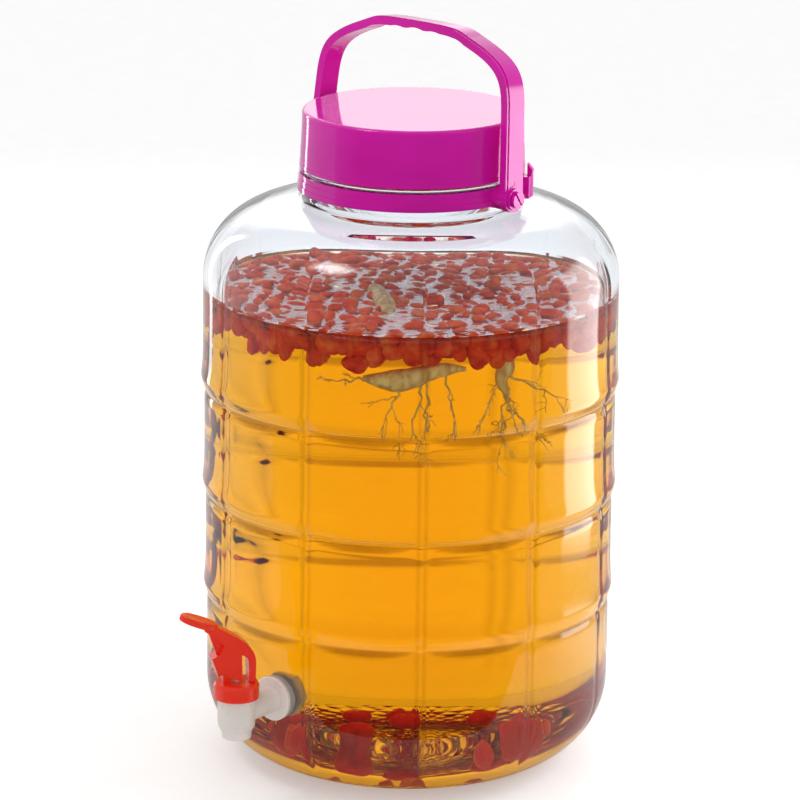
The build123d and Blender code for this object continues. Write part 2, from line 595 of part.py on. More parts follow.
def make_plug():
    """Silicone plug on the foot of the stem, flat on the nozzle's seat."""
    shoulder = SEAT_Z + PLUG_HEIGHT * 0.6
    plug = turned([
        (0, SEAT_Z),
        (PLUG_RADIUS - 1.0, SEAT_Z),
        (PLUG_RADIUS, SEAT_Z + 1.0),
        (PLUG_RADIUS, shoulder),
        (SPRING_RADIUS + 1.4, SEAT_Z + PLUG_HEIGHT),
        (0, SEAT_Z + PLUG_HEIGHT),
    ])
    socket = Cylinder(STEM_RADIUS + 0.04, PLUG_HEIGHT, align=(Align.CENTER, Align.CENTER, Align.MIN))
    return LEVER_FRAME * (plug - Pos(0, 0, SEAT_Z + PLUG_HEIGHT * 0.4) * socket)


def make_spring():
    """Return spring between the plug and the stem guide."""
    low = SEAT_Z + PLUG_HEIGHT + SPRING_WIRE + 0.05
    high = GUIDE_BOTTOM - SPRING_WIRE - 0.05
    path = Helix(pitch=(high - low) / SPRING_TURNS, height=high - low, radius=SPRING_RADIUS)
    section = Plane(origin=path @ 0, z_dir=path % 0) * Circle(SPRING_WIRE)
    return LEVER_FRAME * Pos(0, 0, low) * sweep(section, path=path, is_frenet=True)


def lever_point(out, up):
    """A point of the lever's side outline: outward of the stem, above the bonnet's plate."""
    return Vector(out, 0, PLATE_TOP + up)


def lever_slab(edges, width):
    """The side outline as a slab centred on the lever."""
    return extrude(make_face(Wire(edges)), width / 2, both=True)


def make_lever():
    """Push lever: thumb paddle, curved neck, heel strap, hollow pivot block, web and lifting bar."""
    heel_out = -BONNET_RADIUS + 3.1
    outside = Spline([
        lever_point(heel_out - 0.3, 12.0),
        lever_point(heel_out + 3.0, 21.7),
        lever_point(4.9, 31.3),
        lever_point(20.0, 39.6),
    ], tangents=[(0, 0, 1), (0.9, 0, 0.42)])
    inside = Spline([
        lever_point(20.0, 33.6),
        lever_point(10.2, 26.0),
        lever_point(3.0, 19.4),
        lever_point(heel_out + 4.2, 12.0),
    ], tangents=[(-0.9, 0, -0.6), (0, 0, -1)])
    neck = lever_slab([
        Line(lever_point(heel_out, LEVER_HEEL_GAP), lever_point(heel_out - 0.3, 12.0)),
        outside,
        Line(lever_point(20.0, 39.6), lever_point(20.0, 33.6)),
        inside,
        Line(lever_point(heel_out + 4.2, 12.0), lever_point(heel_out + 3.8, LEVER_HEEL_GAP)),
        Line(lever_point(heel_out + 3.8, LEVER_HEEL_GAP), lever_point(heel_out, LEVER_HEEL_GAP)),
    ], LEVER_WIDTH)
    block_points = [
        lever_point(-2.3, 1.0),
        lever_point(12.4, 6.6),
        lever_point(15.7, 16.2),
        lever_point(10.7, 18.6),
        lever_point(8.0, 24.5),
        lever_point(-2.3, 20.5),
    ]
    block = lever_slab(polyline(block_points + block_points[:1]), LEVER_WIDTH)
    web_points = [lever_point(6.0, 18.0), lever_point(12.6, 18.0), lever_point(17.5, 33.0), lever_point(8.0, 26.0)]
    web = lever_slab(polyline(web_points + web_points[:1]), EYE_PLATE)
    dish = Pos(0, 0, PADDLE_THICKNESS / 2 + PADDLE_DISH_RADIUS - PADDLE_DISH_DEPTH) * Sphere(PADDLE_DISH_RADIUS)
    pad = extrude(Ellipse(PADDLE_HALF_LENGTH, PADDLE_HALF_WIDTH), PADDLE_THICKNESS / 2, both=True)
    pad = fillet(pad.edges(), PADDLE_THICKNESS * 0.3) - dish
    pad_out, pad_up = PADDLE_CENTRE
    pad = Pos(pad_out, 0, PLATE_TOP + pad_up) * Rot(0, -PADDLE_SLOPE, 0) * pad
    inner_width = LEVER_WIDTH - 2 * LEVER_CHEEK
    room = Box(17.4, inner_width, 16.0, align=(Align.MIN, Align.CENTER, Align.MIN))
    room = Pos(-6.0, 0, PLATE_TOP - 1.0) * room
    pivot = Pos(PIVOT_OUT, 0, LEVER_PIVOT_Z) * Rot(90, 0, 0)
    bar = Pos(0, 0, LEVER_PIVOT_Z) * Rot(90, 0, 0) * Cylinder(BAR_RADIUS, inner_width + LEVER_CHEEK)
    lever = neck + block + web + pad - room + bar
    return LEVER_FRAME * (lever - pivot * Cylinder(PIN_RADIUS + PIN_FIT, PIN_LENGTH + 0.4))


def make_lever_pin():
    """Pin through the tongue, blind in the lever's cheeks."""
    pin = Pos(PIVOT_OUT, 0, LEVER_PIVOT_Z) * Rot(90, 0, 0) * Cylinder(PIN_RADIUS, PIN_LENGTH)
    return LEVER_FRAME * pin


# ================================================================ contents
def berry(gap=0.0):
    """One swollen berry lying along X, centred on the origin."""
    radius = BERRY_HALF[1] + gap
    middle = BERRY_HALF[0] - BERRY_HALF[1]
    ends = Pos(0, 0, middle) * Sphere(radius) + Pos(0, 0, -middle) * Sphere(radius)
    return Rot(0, 90, 0) * (Cylinder(radius, 2 * middle) + ends)


def root_body(points, tangents, gap):
    """A root's body round X, through (place, radius) points, with a blunt tip at each end."""
    first, last = points[0][0], points[-1][0]
    outward = math.copysign(gap, first - last)
    first, last = first + outward, last - outward
    blunt = ROOT_TIP_RADIUS + gap
    inner = [(place, radius + gap) for place, radius in points[1:-1]]
    outline = Spline([(first, blunt)] + inner + [(last, blunt)], tangents=tangents)
    ends = [Line((first, 0), (first, blunt)), Line((last, blunt), (last, 0)), Line((last, 0), (first, 0))]
    return revolve(make_face(Wire([outline] + ends)), Axis.X, 360)


def sunk_berries(gap=0.0):
    """The berries that lie on the floor, in loose rings."""
    pieces = []
    height = BASE_THICKNESS + FILL_GAP + BERRY_HALF[1]
    for radius, count, phase in SUNK_RINGS:
        for number in range(count):
            turn = phase + number * 360 / count + 4 * math.sin(number * 2.4)
            spin = 90 + 50 * math.sin(number * 1.7)
            pieces.append(Rot(0, 0, turn) * Pos(radius, 0, height) * Rot(0, 0, spin) * berry(gap))
    return pieces


def make_floating_berries():
    """The layer of berries on the liquor: a mat with rounded berries proud of its edge and its top."""
    radius = CAVITY_RADIUS - FILL_GAP - BERRY_LUMP_RADIUS
    bottom = LIQUOR_LEVEL + FILL_GAP
    mat = Pos(0, 0, bottom) * Cylinder(radius, BERRY_LAYER, align=(Align.CENTER, Align.CENTER, Align.MIN))
    lumps = []
    for ring, count, lift in BERRY_LUMP_RINGS:
        for number in range(count):
            place = Pos(radius * ring, 0, bottom + BERRY_LAYER * lift)
            lumps.append(Rot(0, 0, number * 360 / count + 40 * ring) * place * Sphere(BERRY_LUMP_RADIUS))
    return mat + lumps


def tapered(start, end, start_radius, end_radius):
    """A tapered rootlet from one point to another."""
    direction = Vector(*end) - Vector(*start)
    plane = Plane(origin=start, z_dir=direction)
    return plane * Cone(start_radius, end_radius, direction.length, align=(Align.CENTER, Align.CENTER, Align.MIN))


def rootlet(start, middle, end, gap):
    """A bent rootlet with a small knuckle at its bend."""
    start_radius = ROOTLET_RADIUS + gap
    end_radius = ROOTLET_TIP_RADIUS + gap
    middle_radius = (start_radius + end_radius) / 2
    end = Vector(*end) + (Vector(*end) - Vector(*middle)).normalized() * gap
    knuckle = Pos(*middle) * Sphere(middle_radius * KNUCKLE_SWELL)
    upper = tapered(start, middle, start_radius, middle_radius)
    return upper + knuckle + tapered(middle, tuple(end), middle_radius, end_radius)


def front_root(gap=0.0):
    """The root that lies across the front, with its rootlets."""
    half = ROOT_LENGTH / 2
    profile = [
        (-half, 0),
        (-half * 0.6, ROOT_RADIUS),
        (0, ROOT_RADIUS * 0.86),
        (half * 0.7, ROOT_RADIUS * 0.55),
        (half, 0),
    ]
    root = root_body(profile, [(0.2, 1), (0.2, -1)], gap)
    rootlets = [
        ((half * 0.5, 0, -2), (half * 0.8, 4, -20), (half * 0.6, 2, -38)),
        ((half * 0.8, 0, -1), (half * 1.3, -3, -14), (half * 1.5, 2, -34)),
        ((-half * 0.5, 0, -4), (-half * 0.75, 3, -22), (-half * 0.6, -2, -36)),
        ((half * 0.1, 0, -4), (half * 0.0, -3, -20), (half * 0.2, 3, -30)),
    ]
    for start, middle, end in rootlets:
        root = root + rootlet(start, middle, end, gap)
    place = Rot(0, 0, 45) * Pos(0, -ROOT_DISTANCE, LIQUOR_LEVEL - ROOT_DEPTH)
    return place * Rot(0, 4, 6) * root


def side_root(gap=0.0):
    """The smaller root that hangs at the side."""
    length = SIDE_ROOT_LENGTH
    profile = [(0, 0), (-length * 0.1, SIDE_ROOT_RADIUS), (-length * 0.6, SIDE_ROOT_RADIUS * 0.8), (-length, 0)]
    root = Rot(0, -90, 0) * root_body(profile, [(-0.2, 1), (-0.4, -1)], gap)
    rootlets = [
        ((0, 0, -SIDE_ROOT_LENGTH * 0.7), (6, -2, -38), (16, 2, -60)),
        ((0, 0, -SIDE_ROOT_LENGTH * 0.8), (-5, 2, -42), (-2, -2, -64)),
    ]
    for start, middle, end in rootlets:
        root = root + rootlet(start, middle, end, gap)
    place = Rot(0, 0, 80) * Pos(0, -SIDE_ROOT_DISTANCE, LIQUOR_LEVEL - FILL_GAP - 2 * BAR_RADIUS)
    return place * root


def make_liquor():
    """The liquor up to the floating layer, clear of the glass and of everything in it."""
    liquor = cavity(FILL_GAP, LIQUOR_LEVEL)
    nut_room = NUT_ACROSS_FLATS / math.sqrt(3) + FILL_GAP
    liquor = liquor - along_y(nut_room, NUT_END - FILL_GAP, BASE_RADIUS, SPIGOT_HEIGHT)
    liquor = liquor - along_y(TAIL_RADIUS + FILL_GAP, TAIL_END - FILL_GAP, NUT_FACE, SPIGOT_HEIGHT)
    liquor = liquor - sunk_berries(FILL_GAP)
    return liquor - front_root(FILL_GAP) - side_root(FILL_GAP)


def main():
    """Write one STEP file for each piece."""
    os.makedirs("parts", exist_ok=True)
    pieces = {
        "glass_jar": make_glass_jar(),
        "lid": make_lid(),
        "lid_liner": make_liner(),
        "neck_collar": make_collar(),
        "bail_handle": make_bail(),
        "spigot_body": make_spigot_body(),
        "outer_washer": make_outer_washer(),
        "inner_washer": make_inner_washer(),
        "spigot_nut": make_nut(),
        "barrel_gasket": make_barrel_gasket(),
        "spigot_bonnet": make_bonnet(),
        "stem_ring_seal": make_ring_seal(),
        "spigot_lever": make_lever(),
        "lever_pin": make_lever_pin(),
        "valve_stem": make_stem(),
        "valve_plug": make_plug(),
        "return_spring": make_spring(),
        "liquor": make_liquor(),
        "floating_berries": make_floating_berries(),
        "sunk_berries": Compound(children=sunk_berries()),
        "front_root": front_root(),
        "side_root": side_root(),
    }
    for name, shape in pieces.items():
        export_step(shape, f"parts/{name}.step")


main()
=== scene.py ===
"""Looks of the glass infusion jar: glass, liquor, contents, moulded plastic, light and camera."""

import json
import logging
import math
from dataclasses import dataclass, field
from enum import Enum

import bmesh
import bpy
import numpy as np
from mathutils import Matrix, Vector

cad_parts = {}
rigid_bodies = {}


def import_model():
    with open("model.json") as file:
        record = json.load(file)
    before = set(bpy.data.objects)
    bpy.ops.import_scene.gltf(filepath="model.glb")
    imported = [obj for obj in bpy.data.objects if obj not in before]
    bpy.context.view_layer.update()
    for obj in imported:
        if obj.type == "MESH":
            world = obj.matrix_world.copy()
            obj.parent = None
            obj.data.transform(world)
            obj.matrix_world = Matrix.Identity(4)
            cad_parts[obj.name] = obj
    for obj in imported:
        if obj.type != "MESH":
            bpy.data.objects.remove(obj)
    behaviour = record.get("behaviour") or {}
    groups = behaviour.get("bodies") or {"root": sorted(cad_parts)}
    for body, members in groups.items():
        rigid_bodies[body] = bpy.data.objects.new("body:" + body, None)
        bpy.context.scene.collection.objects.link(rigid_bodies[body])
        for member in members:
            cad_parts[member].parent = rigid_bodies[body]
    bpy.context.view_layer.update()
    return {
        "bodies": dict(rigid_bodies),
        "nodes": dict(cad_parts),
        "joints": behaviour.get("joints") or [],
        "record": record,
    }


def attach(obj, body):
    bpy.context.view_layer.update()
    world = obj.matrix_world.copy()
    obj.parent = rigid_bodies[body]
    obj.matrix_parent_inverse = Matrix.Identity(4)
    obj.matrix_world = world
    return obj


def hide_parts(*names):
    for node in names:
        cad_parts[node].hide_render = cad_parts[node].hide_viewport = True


LOG = logging.getLogger("infusion_jar")
MM = 0.001


class Slot(str, Enum):
    """The record's material slots."""

    GLASS = "jar_glass"
    LID = "lid_plastic"
    LINER = "liner_foam"
    WHITE = "spigot_white"
    RED = "spigot_red"
    SILICONE = "washer_silicone"
    STEEL = "spring_steel"
    LIQUOR = "liquor"
    BERRY = "berries"
    ROOT = "root"


# ---------------------------------------------------------------- finishes
@dataclass(frozen=True)
class Colour:
    """A linear RGB colour."""

    red: float
    green: float
    blue: float

    def rgba(self, alpha: float = 1.0) -> tuple[float, float, float, float]:
        """The colour with an alpha.

        Args:
            alpha: opacity from 0 to 1.

        Returns:
            Red, green, blue and alpha.
        """
        return (self.red, self.green, self.blue, alpha)


class Nodes:
    """A small helper that builds one node material."""

    def __init__(self, name: str) -> None:
        """Make an empty node material with its output and Principled shader.

        Args:
            name: the material's name.
        """
        self.material = bpy.data.materials.new(name)
        self.material.use_nodes = True
        self.tree = self.material.node_tree
        self.tree.nodes.clear()
        self.output = self.add("ShaderNodeOutputMaterial")
        self.shader = self.add("ShaderNodeBsdfPrincipled")
        self.link(self.shader.outputs["BSDF"], self.output.inputs["Surface"])

    def add(self, kind: str, **values: object) -> bpy.types.Node:
        """Add a node and set its properties.

        Args:
            kind: the node's type name.
            values: properties to set on the node.

        Returns:
            The new node.
        """
        node = self.tree.nodes.new(kind)
        for key, value in values.items():
            setattr(node, key, value)
        return node

    def link(self, source: bpy.types.NodeSocket, target: bpy.types.NodeSocket) -> None:
        """Link two sockets.

        Args:
            source: the output socket.
            target: the input socket.
        """
        self.tree.links.new(source, target)

    def noise(self, scale: float, detail: float = 3.0, stretch: Vector | None = None) -> bpy.types.NodeSocket:
        """Add a noise texture in object space.

        Args:
            scale: noise scale per metre.
            detail: number of octaves.
            stretch: scale of the coordinates along each axis.

        Returns:
            The noise's factor socket.
        """
        coords = self.add("ShaderNodeTexCoord")
        mapping = self.add("ShaderNodeMapping")
        mapping.inputs["Scale"].default_value = stretch or Vector((1, 1, 1))
        self.link(coords.outputs["Object"], mapping.inputs["Vector"])
        noise = self.add("ShaderNodeTexNoise")
        noise.inputs["Scale"].default_value = scale
        noise.inputs["Detail"].default_value = detail
        self.link(mapping.outputs["Vector"], noise.inputs["Vector"])
        return noise.outputs["Fac"]

    def ramp(self, source: bpy.types.NodeSocket, stops: list[tuple[float, Colour]]) -> bpy.types.NodeSocket:
        """Colour a factor through a ramp.

        Args:
            source: the factor socket.
            stops: positions and colours, in order.

        Returns:
            The ramp's colour socket.
        """
        ramp = self.add("ShaderNodeValToRGB")
        elements = ramp.color_ramp.elements
        while len(elements) < len(stops):
            elements.new(0.5)
        for element, (place, colour) in zip(elements, stops):
            element.position = place
            element.color = colour.rgba()
        self.link(source, ramp.inputs["Fac"])
        return ramp.outputs["Color"]

    def spread(self, source: bpy.types.NodeSocket, low: float, high: float) -> bpy.types.NodeSocket:
        """Map a 0 to 1 factor to a range.

        Args:
            source: the factor socket.
            low: value at 0.3.
            high: value at 0.7.

        Returns:
            The mapped value socket.
        """
        spread = self.add("ShaderNodeMapRange")
        spread.inputs["From Min"].default_value = 0.3
        spread.inputs["From Max"].default_value = 0.7
        spread.inputs["To Min"].default_value = low
        spread.inputs["To Max"].default_value = high
        self.link(source, spread.inputs["Value"])
        return spread.outputs["Result"]

    def bump(self, source: bpy.types.NodeSocket, depth: float) -> None:
        """Bump the surface by a factor.

        Args:
            source: the height socket.
            depth: height of the bump in metres.
        """
        bump = self.add("ShaderNodeBump")
        bump.inputs["Strength"].default_value = 1.0
        bump.inputs["Distance"].default_value = depth
        self.link(source, bump.inputs["Height"])
        self.link(bump.outputs["Normal"], self.shader.inputs["Normal"])

    def below(self, source: bpy.types.NodeSocket, height: float) -> bpy.types.NodeSocket:
        """Keep a factor below a height only.

        Args:
            source: the factor socket.
            height: the height in metres, in object space.

        Returns:
            The factor, 0 above the height.
        """
        coords = self.add("ShaderNodeTexCoord")
        split = self.add("ShaderNodeSeparateXYZ")
        self.link(coords.outputs["Object"], split.inputs["Vector"])
        low = self.add("ShaderNodeMath", operation="LESS_THAN")
        low.inputs[1].default_value = height
        self.link(split.outputs["Z"], low.inputs[0])
        kept = self.add("ShaderNodeMath", operation="MULTIPLY")
        self.link(source, kept.inputs[0])
        self.link(low.outputs["Value"], kept.inputs[1])
        return kept.outputs["Value"]

    def put(self, **values: object) -> None:
        """Set plain values on the Principled shader.

        Args:
            values: socket names with underscores for spaces, and their values.
        """
        for key, value in values.items():
            self.shader.inputs[key.replace("_", " ")].default_value = value


@dataclass(frozen=True)
class Plastic:
    """Moulded plastic with a faint flow tint, fine bump and some light through it."""

    name: str
    dark: Colour
    light: Colour
    roughness: tuple[float, float] = (0.16, 0.28)
    through: float = 0.0
    reach: float = 0.004
    coat: float = 0.1
    grain: float = 0.00003
    clear: float = 0.0
    rings: float = 0.0

    def make(self) -> bpy.types.Material:
        """Build the material.

        Returns:
            The new material.
        """
        nodes = Nodes(self.name)
        flow = nodes.noise(14.0, 2.0, Vector((1, 1, 2.5)))
        nodes.link(nodes.ramp(flow, [(0.3, self.dark), (0.7, self.light)]), nodes.shader.inputs["Base Color"])
        fine = nodes.noise(420.0, 4.0)
        nodes.link(nodes.spread(fine, *self.roughness), nodes.shader.inputs["Roughness"])
        rings = nodes.add("ShaderNodeMath", operation="MULTIPLY_ADD")
        nodes.link(nodes.noise(420.0, 1.0, Vector((0.01, 0.01, 1))), rings.inputs[0])
        rings.inputs[1].default_value = self.rings / self.grain
        nodes.link(nodes.noise(160.0, 3.0), rings.inputs[2])
        nodes.bump(rings.outputs["Value"], self.grain)
        nodes.put(IOR=1.49, Coat_Weight=self.coat, Coat_Roughness=0.08)
        nodes.put(Transmission_Weight=self.clear)
        nodes.put(Subsurface_Weight=self.through, Subsurface_Scale=self.reach)
        nodes.put(Subsurface_Radius=(1.0, 0.6, 0.6))
        return nodes.material


@dataclass(frozen=True)
class Glass:
    """Clear pressed glass with a slow waviness in it, and painted shade mixed into its colour."""

    name: str
    tint: Colour
    ior: float = 1.5
    wave: float = 0.00005
    base: float = 0.009
    dot: float = 0.0009
    # Brown colour of the painted shade along the seams and at the foot.
    painted_shade_band: Colour = Colour(0.3, 0.26, 0.2)

    def make(self) -> bpy.types.Material:
        """Build the material.

        Returns:
            The new material.
        """
        nodes = Nodes(self.name)
        nodes.put(Roughness=0.0, IOR=self.ior, Transmission_Weight=1.0)
        # Painted shade: the glass's colour turns brown where the mesh marks the seams and the foot.
        painted_shade = nodes.add("ShaderNodeAttribute", attribute_name="painted_shade")
        shade = nodes.ramp(painted_shade.outputs["Fac"], [(0.0, self.tint), (1.0, self.painted_shade_band)])
        nodes.link(shade, nodes.shader.inputs["Base Color"])
        coords = nodes.add("ShaderNodeTexCoord")
        dots = nodes.add("ShaderNodeTexVoronoi")
        dots.inputs["Scale"].default_value = 210.0
        dots.inputs["Randomness"].default_value = 0.45
        nodes.link(coords.outputs["Object"], dots.inputs["Vector"])
        stipple = nodes.below(dots.outputs["Distance"], self.base)
        deep = nodes.add("ShaderNodeMath", operation="MULTIPLY")
        deep.inputs[1].default_value = self.dot / self.wave
        nodes.link(stipple, deep.inputs[0])
        height = nodes.add("ShaderNodeMath", operation="ADD")
        nodes.link(nodes.noise(22.0, 1.5), height.inputs[0])
        nodes.link(deep.outputs["Value"], height.inputs[1])
        nodes.bump(height.outputs["Value"], self.wave)
        return nodes.material


@dataclass(frozen=True)
class Liquid:
    """Clear liquor that takes light away with depth."""

    name: str
    colour: Colour
    density: float
    ior: float = 1.36
    ripple: float = 0.00004
    surface: float = 0.2895

    def make(self) -> bpy.types.Material:
        """Build the material.

        Returns:
            The new material.
        """
        nodes = Nodes(self.name)
        nodes.put(Base_Color=(1, 1, 1, 1), Roughness=0.0, IOR=self.ior, Transmission_Weight=1.0)
        absorb = nodes.add("ShaderNodeVolumeAbsorption")
        absorb.inputs["Color"].default_value = self.colour.rgba()
        absorb.inputs["Density"].default_value = self.density
        nodes.link(absorb.outputs["Volume"], nodes.output.inputs["Volume"])
        coords = nodes.add("ShaderNodeTexCoord")
        split = nodes.add("ShaderNodeSeparateXYZ")
        nodes.link(coords.outputs["Object"], split.inputs["Vector"])
        bend = nodes.add("ShaderNodeMapRange")
        bend.inputs["From Min"].default_value = self.surface - 0.0002
        bend.inputs["From Max"].default_value = self.surface
        bend.inputs["To Min"].default_value = 1.0001
        bend.inputs["To Max"].default_value = self.ior
        nodes.link(split.outputs["Z"], bend.inputs["Value"])
        nodes.link(bend.outputs["Result"], nodes.shader.inputs["IOR"])
        nodes.bump(nodes.noise(150.0, 2.0), self.ripple)
        return nodes.material


@dataclass(frozen=True)
class Berry:
    """Wet, wrinkled berry skin."""

    name: str
    deep: Colour
    middle: Colour
    bright: Colour

    def make(self) -> bpy.types.Material:
        """Build the material.

        Returns:
            The new material.
        """
        nodes = Nodes(self.name)
        patch = nodes.noise(90.0, 3.0)
        stops = [(0.32, self.deep), (0.5, self.middle), (0.68, self.bright)]
        nodes.link(nodes.ramp(patch, stops), nodes.shader.inputs["Base Color"])
        nodes.link(nodes.spread(nodes.noise(300.0, 2.0), 0.12, 0.4), nodes.shader.inputs["Roughness"])
        nodes.bump(nodes.noise(480.0, 2.0, Vector((1, 1, 1.6))), 0.0006)
        nodes.put(IOR=1.1, Coat_Weight=0.0)
        nodes.put(Subsurface_Weight=0.2, Subsurface_Radius=(1.0, 0.25, 0.1), Subsurface_Scale=0.003)
        return nodes.material


@dataclass(frozen=True)
class Root:
    """Pale root skin with fine rings across it."""

    name: str
    pale: Colour
    brown: Colour

    def make(self) -> bpy.types.Material:
        """Build the material.

        Returns:
            The new material.
        """
        nodes = Nodes(self.name)
        rings = nodes.noise(260.0, 3.0, Vector((1.0, 1.0, 0.35)))
        tone = nodes.ramp(rings, [(0.35, self.brown), (0.62, self.pale)])
        nodes.link(tone, nodes.shader.inputs["Base Color"])
        nodes.link(nodes.spread(rings, 0.6, 0.4), nodes.shader.inputs["Roughness"])
        nodes.bump(rings, 0.0005)
        nodes.put(IOR=1.1)
        return nodes.material


@dataclass(frozen=True)
class Steel:
    """Bright drawn steel."""

    name: str

    def make(self) -> bpy.types.Material:
        """Build the material.

        Returns:
            The new material.
        """
        nodes = Nodes(self.name)
        scratch = nodes.noise(900.0, 2.0, Vector((1, 1, 8)))
        nodes.put(Base_Color=(0.62, 0.62, 0.63, 1), Metallic=1.0)
        nodes.link(nodes.spread(scratch, 0.15, 0.35), nodes.shader.inputs["Roughness"])
        nodes.bump(scratch, 0.00002)
        return nodes.material


# ---------------------------------------------------------------- mesh helpers
def mesh_object(name: str, verts: np.ndarray, faces: list, material: bpy.types.Material) -> bpy.types.Object:
    """Make a smooth-shaded mesh object at the origin.

    Args:
        name: the object's name.
        verts: N by 3 array in metres.
        faces: lists of vertex numbers.
        material: the material for every face.

    Returns:
        The new object.
    """
    mesh = bpy.data.meshes.new(name)
    mesh.from_pydata(verts.tolist(), [], faces)
    mesh.validate()
    mesh.polygons.foreach_set("use_smooth", [True] * len(mesh.polygons))
    mesh.materials.append(material)
    shape = bpy.data.objects.new(name, mesh)
    bpy.context.scene.collection.objects.link(shape)
    return shape


def turned_grid(radii: np.ndarray, heights: np.ndarray, turn: np.ndarray | None = None) -> np.ndarray:
    """Points of a turned surface, row by row from the bottom.

    Args:
        radii: rows by columns array of radii in metres.
        heights: rows by columns array of heights in metres.
        turn: the columns' angles in radians, or None for even columns.

    Returns:
        The points as an N by 3 array.
    """
    if turn is None:
        turn = np.linspace(0, 2 * math.pi, radii.shape[1], endpoint=False)
    return np.stack([radii * np.sin(turn), -radii * np.cos(turn), heights], axis=-1).reshape(-1, 3)


def grid_faces(rows: int, columns: int, start: int = 0, outward: bool = True) -> list:
    """Quads of a turned grid.

    Args:
        rows: number of rows.
        columns: number of columns.
        start: number of the grid's first vertex.
        outward: True where the faces look away from the axis.

    Returns:
        Lists of vertex numbers.
    """
    faces = []
    for row in range(rows - 1):
        low = start + row * columns
        for column in range(columns):
            after = (column + 1) % columns
            quad = [low + column, low + after, low + columns + after, low + columns + column]
            faces.append(quad if outward else quad[::-1])
    return faces


def smooth_step(value: np.ndarray) -> np.ndarray:
    """A smooth rise from 0 to 1.

    Args:
        value: the position, clamped to 0 to 1.

    Returns:
        The eased values.
    """
    value = np.clip(value, 0, 1)
    return value * value * (3 - 2 * value)


# ---------------------------------------------------------------- glass jar
@dataclass(frozen=True)
class JarSizes:
    """Sizes of the jar in millimetres, the same as the solid's."""

    base_radius: float = 123.5
    step: float = 0.7
    base_tier: float = 102.5
    pitch: float = 65.0
    tiers: int = 3
    corner: float = 50.0
    shoulder_start: float = 300.6
    shoulder_radius: float = 43.3
    slope: float = math.radians(12.0)
    waist: float = 64.0
    neck_start: float = 348.757
    bead_bottom: float = 365.357
    bead_top: float = 367.957
    bead_radius: float = 67.3
    finish: float = 62.0
    rim: float = 397.957
    mouth: float = 57.0
    wall: float = 4.6
    floor: float = 8.0
    panels: int = 11
    phase: float = math.radians(9.6)
    liquid_level: float = 290.7


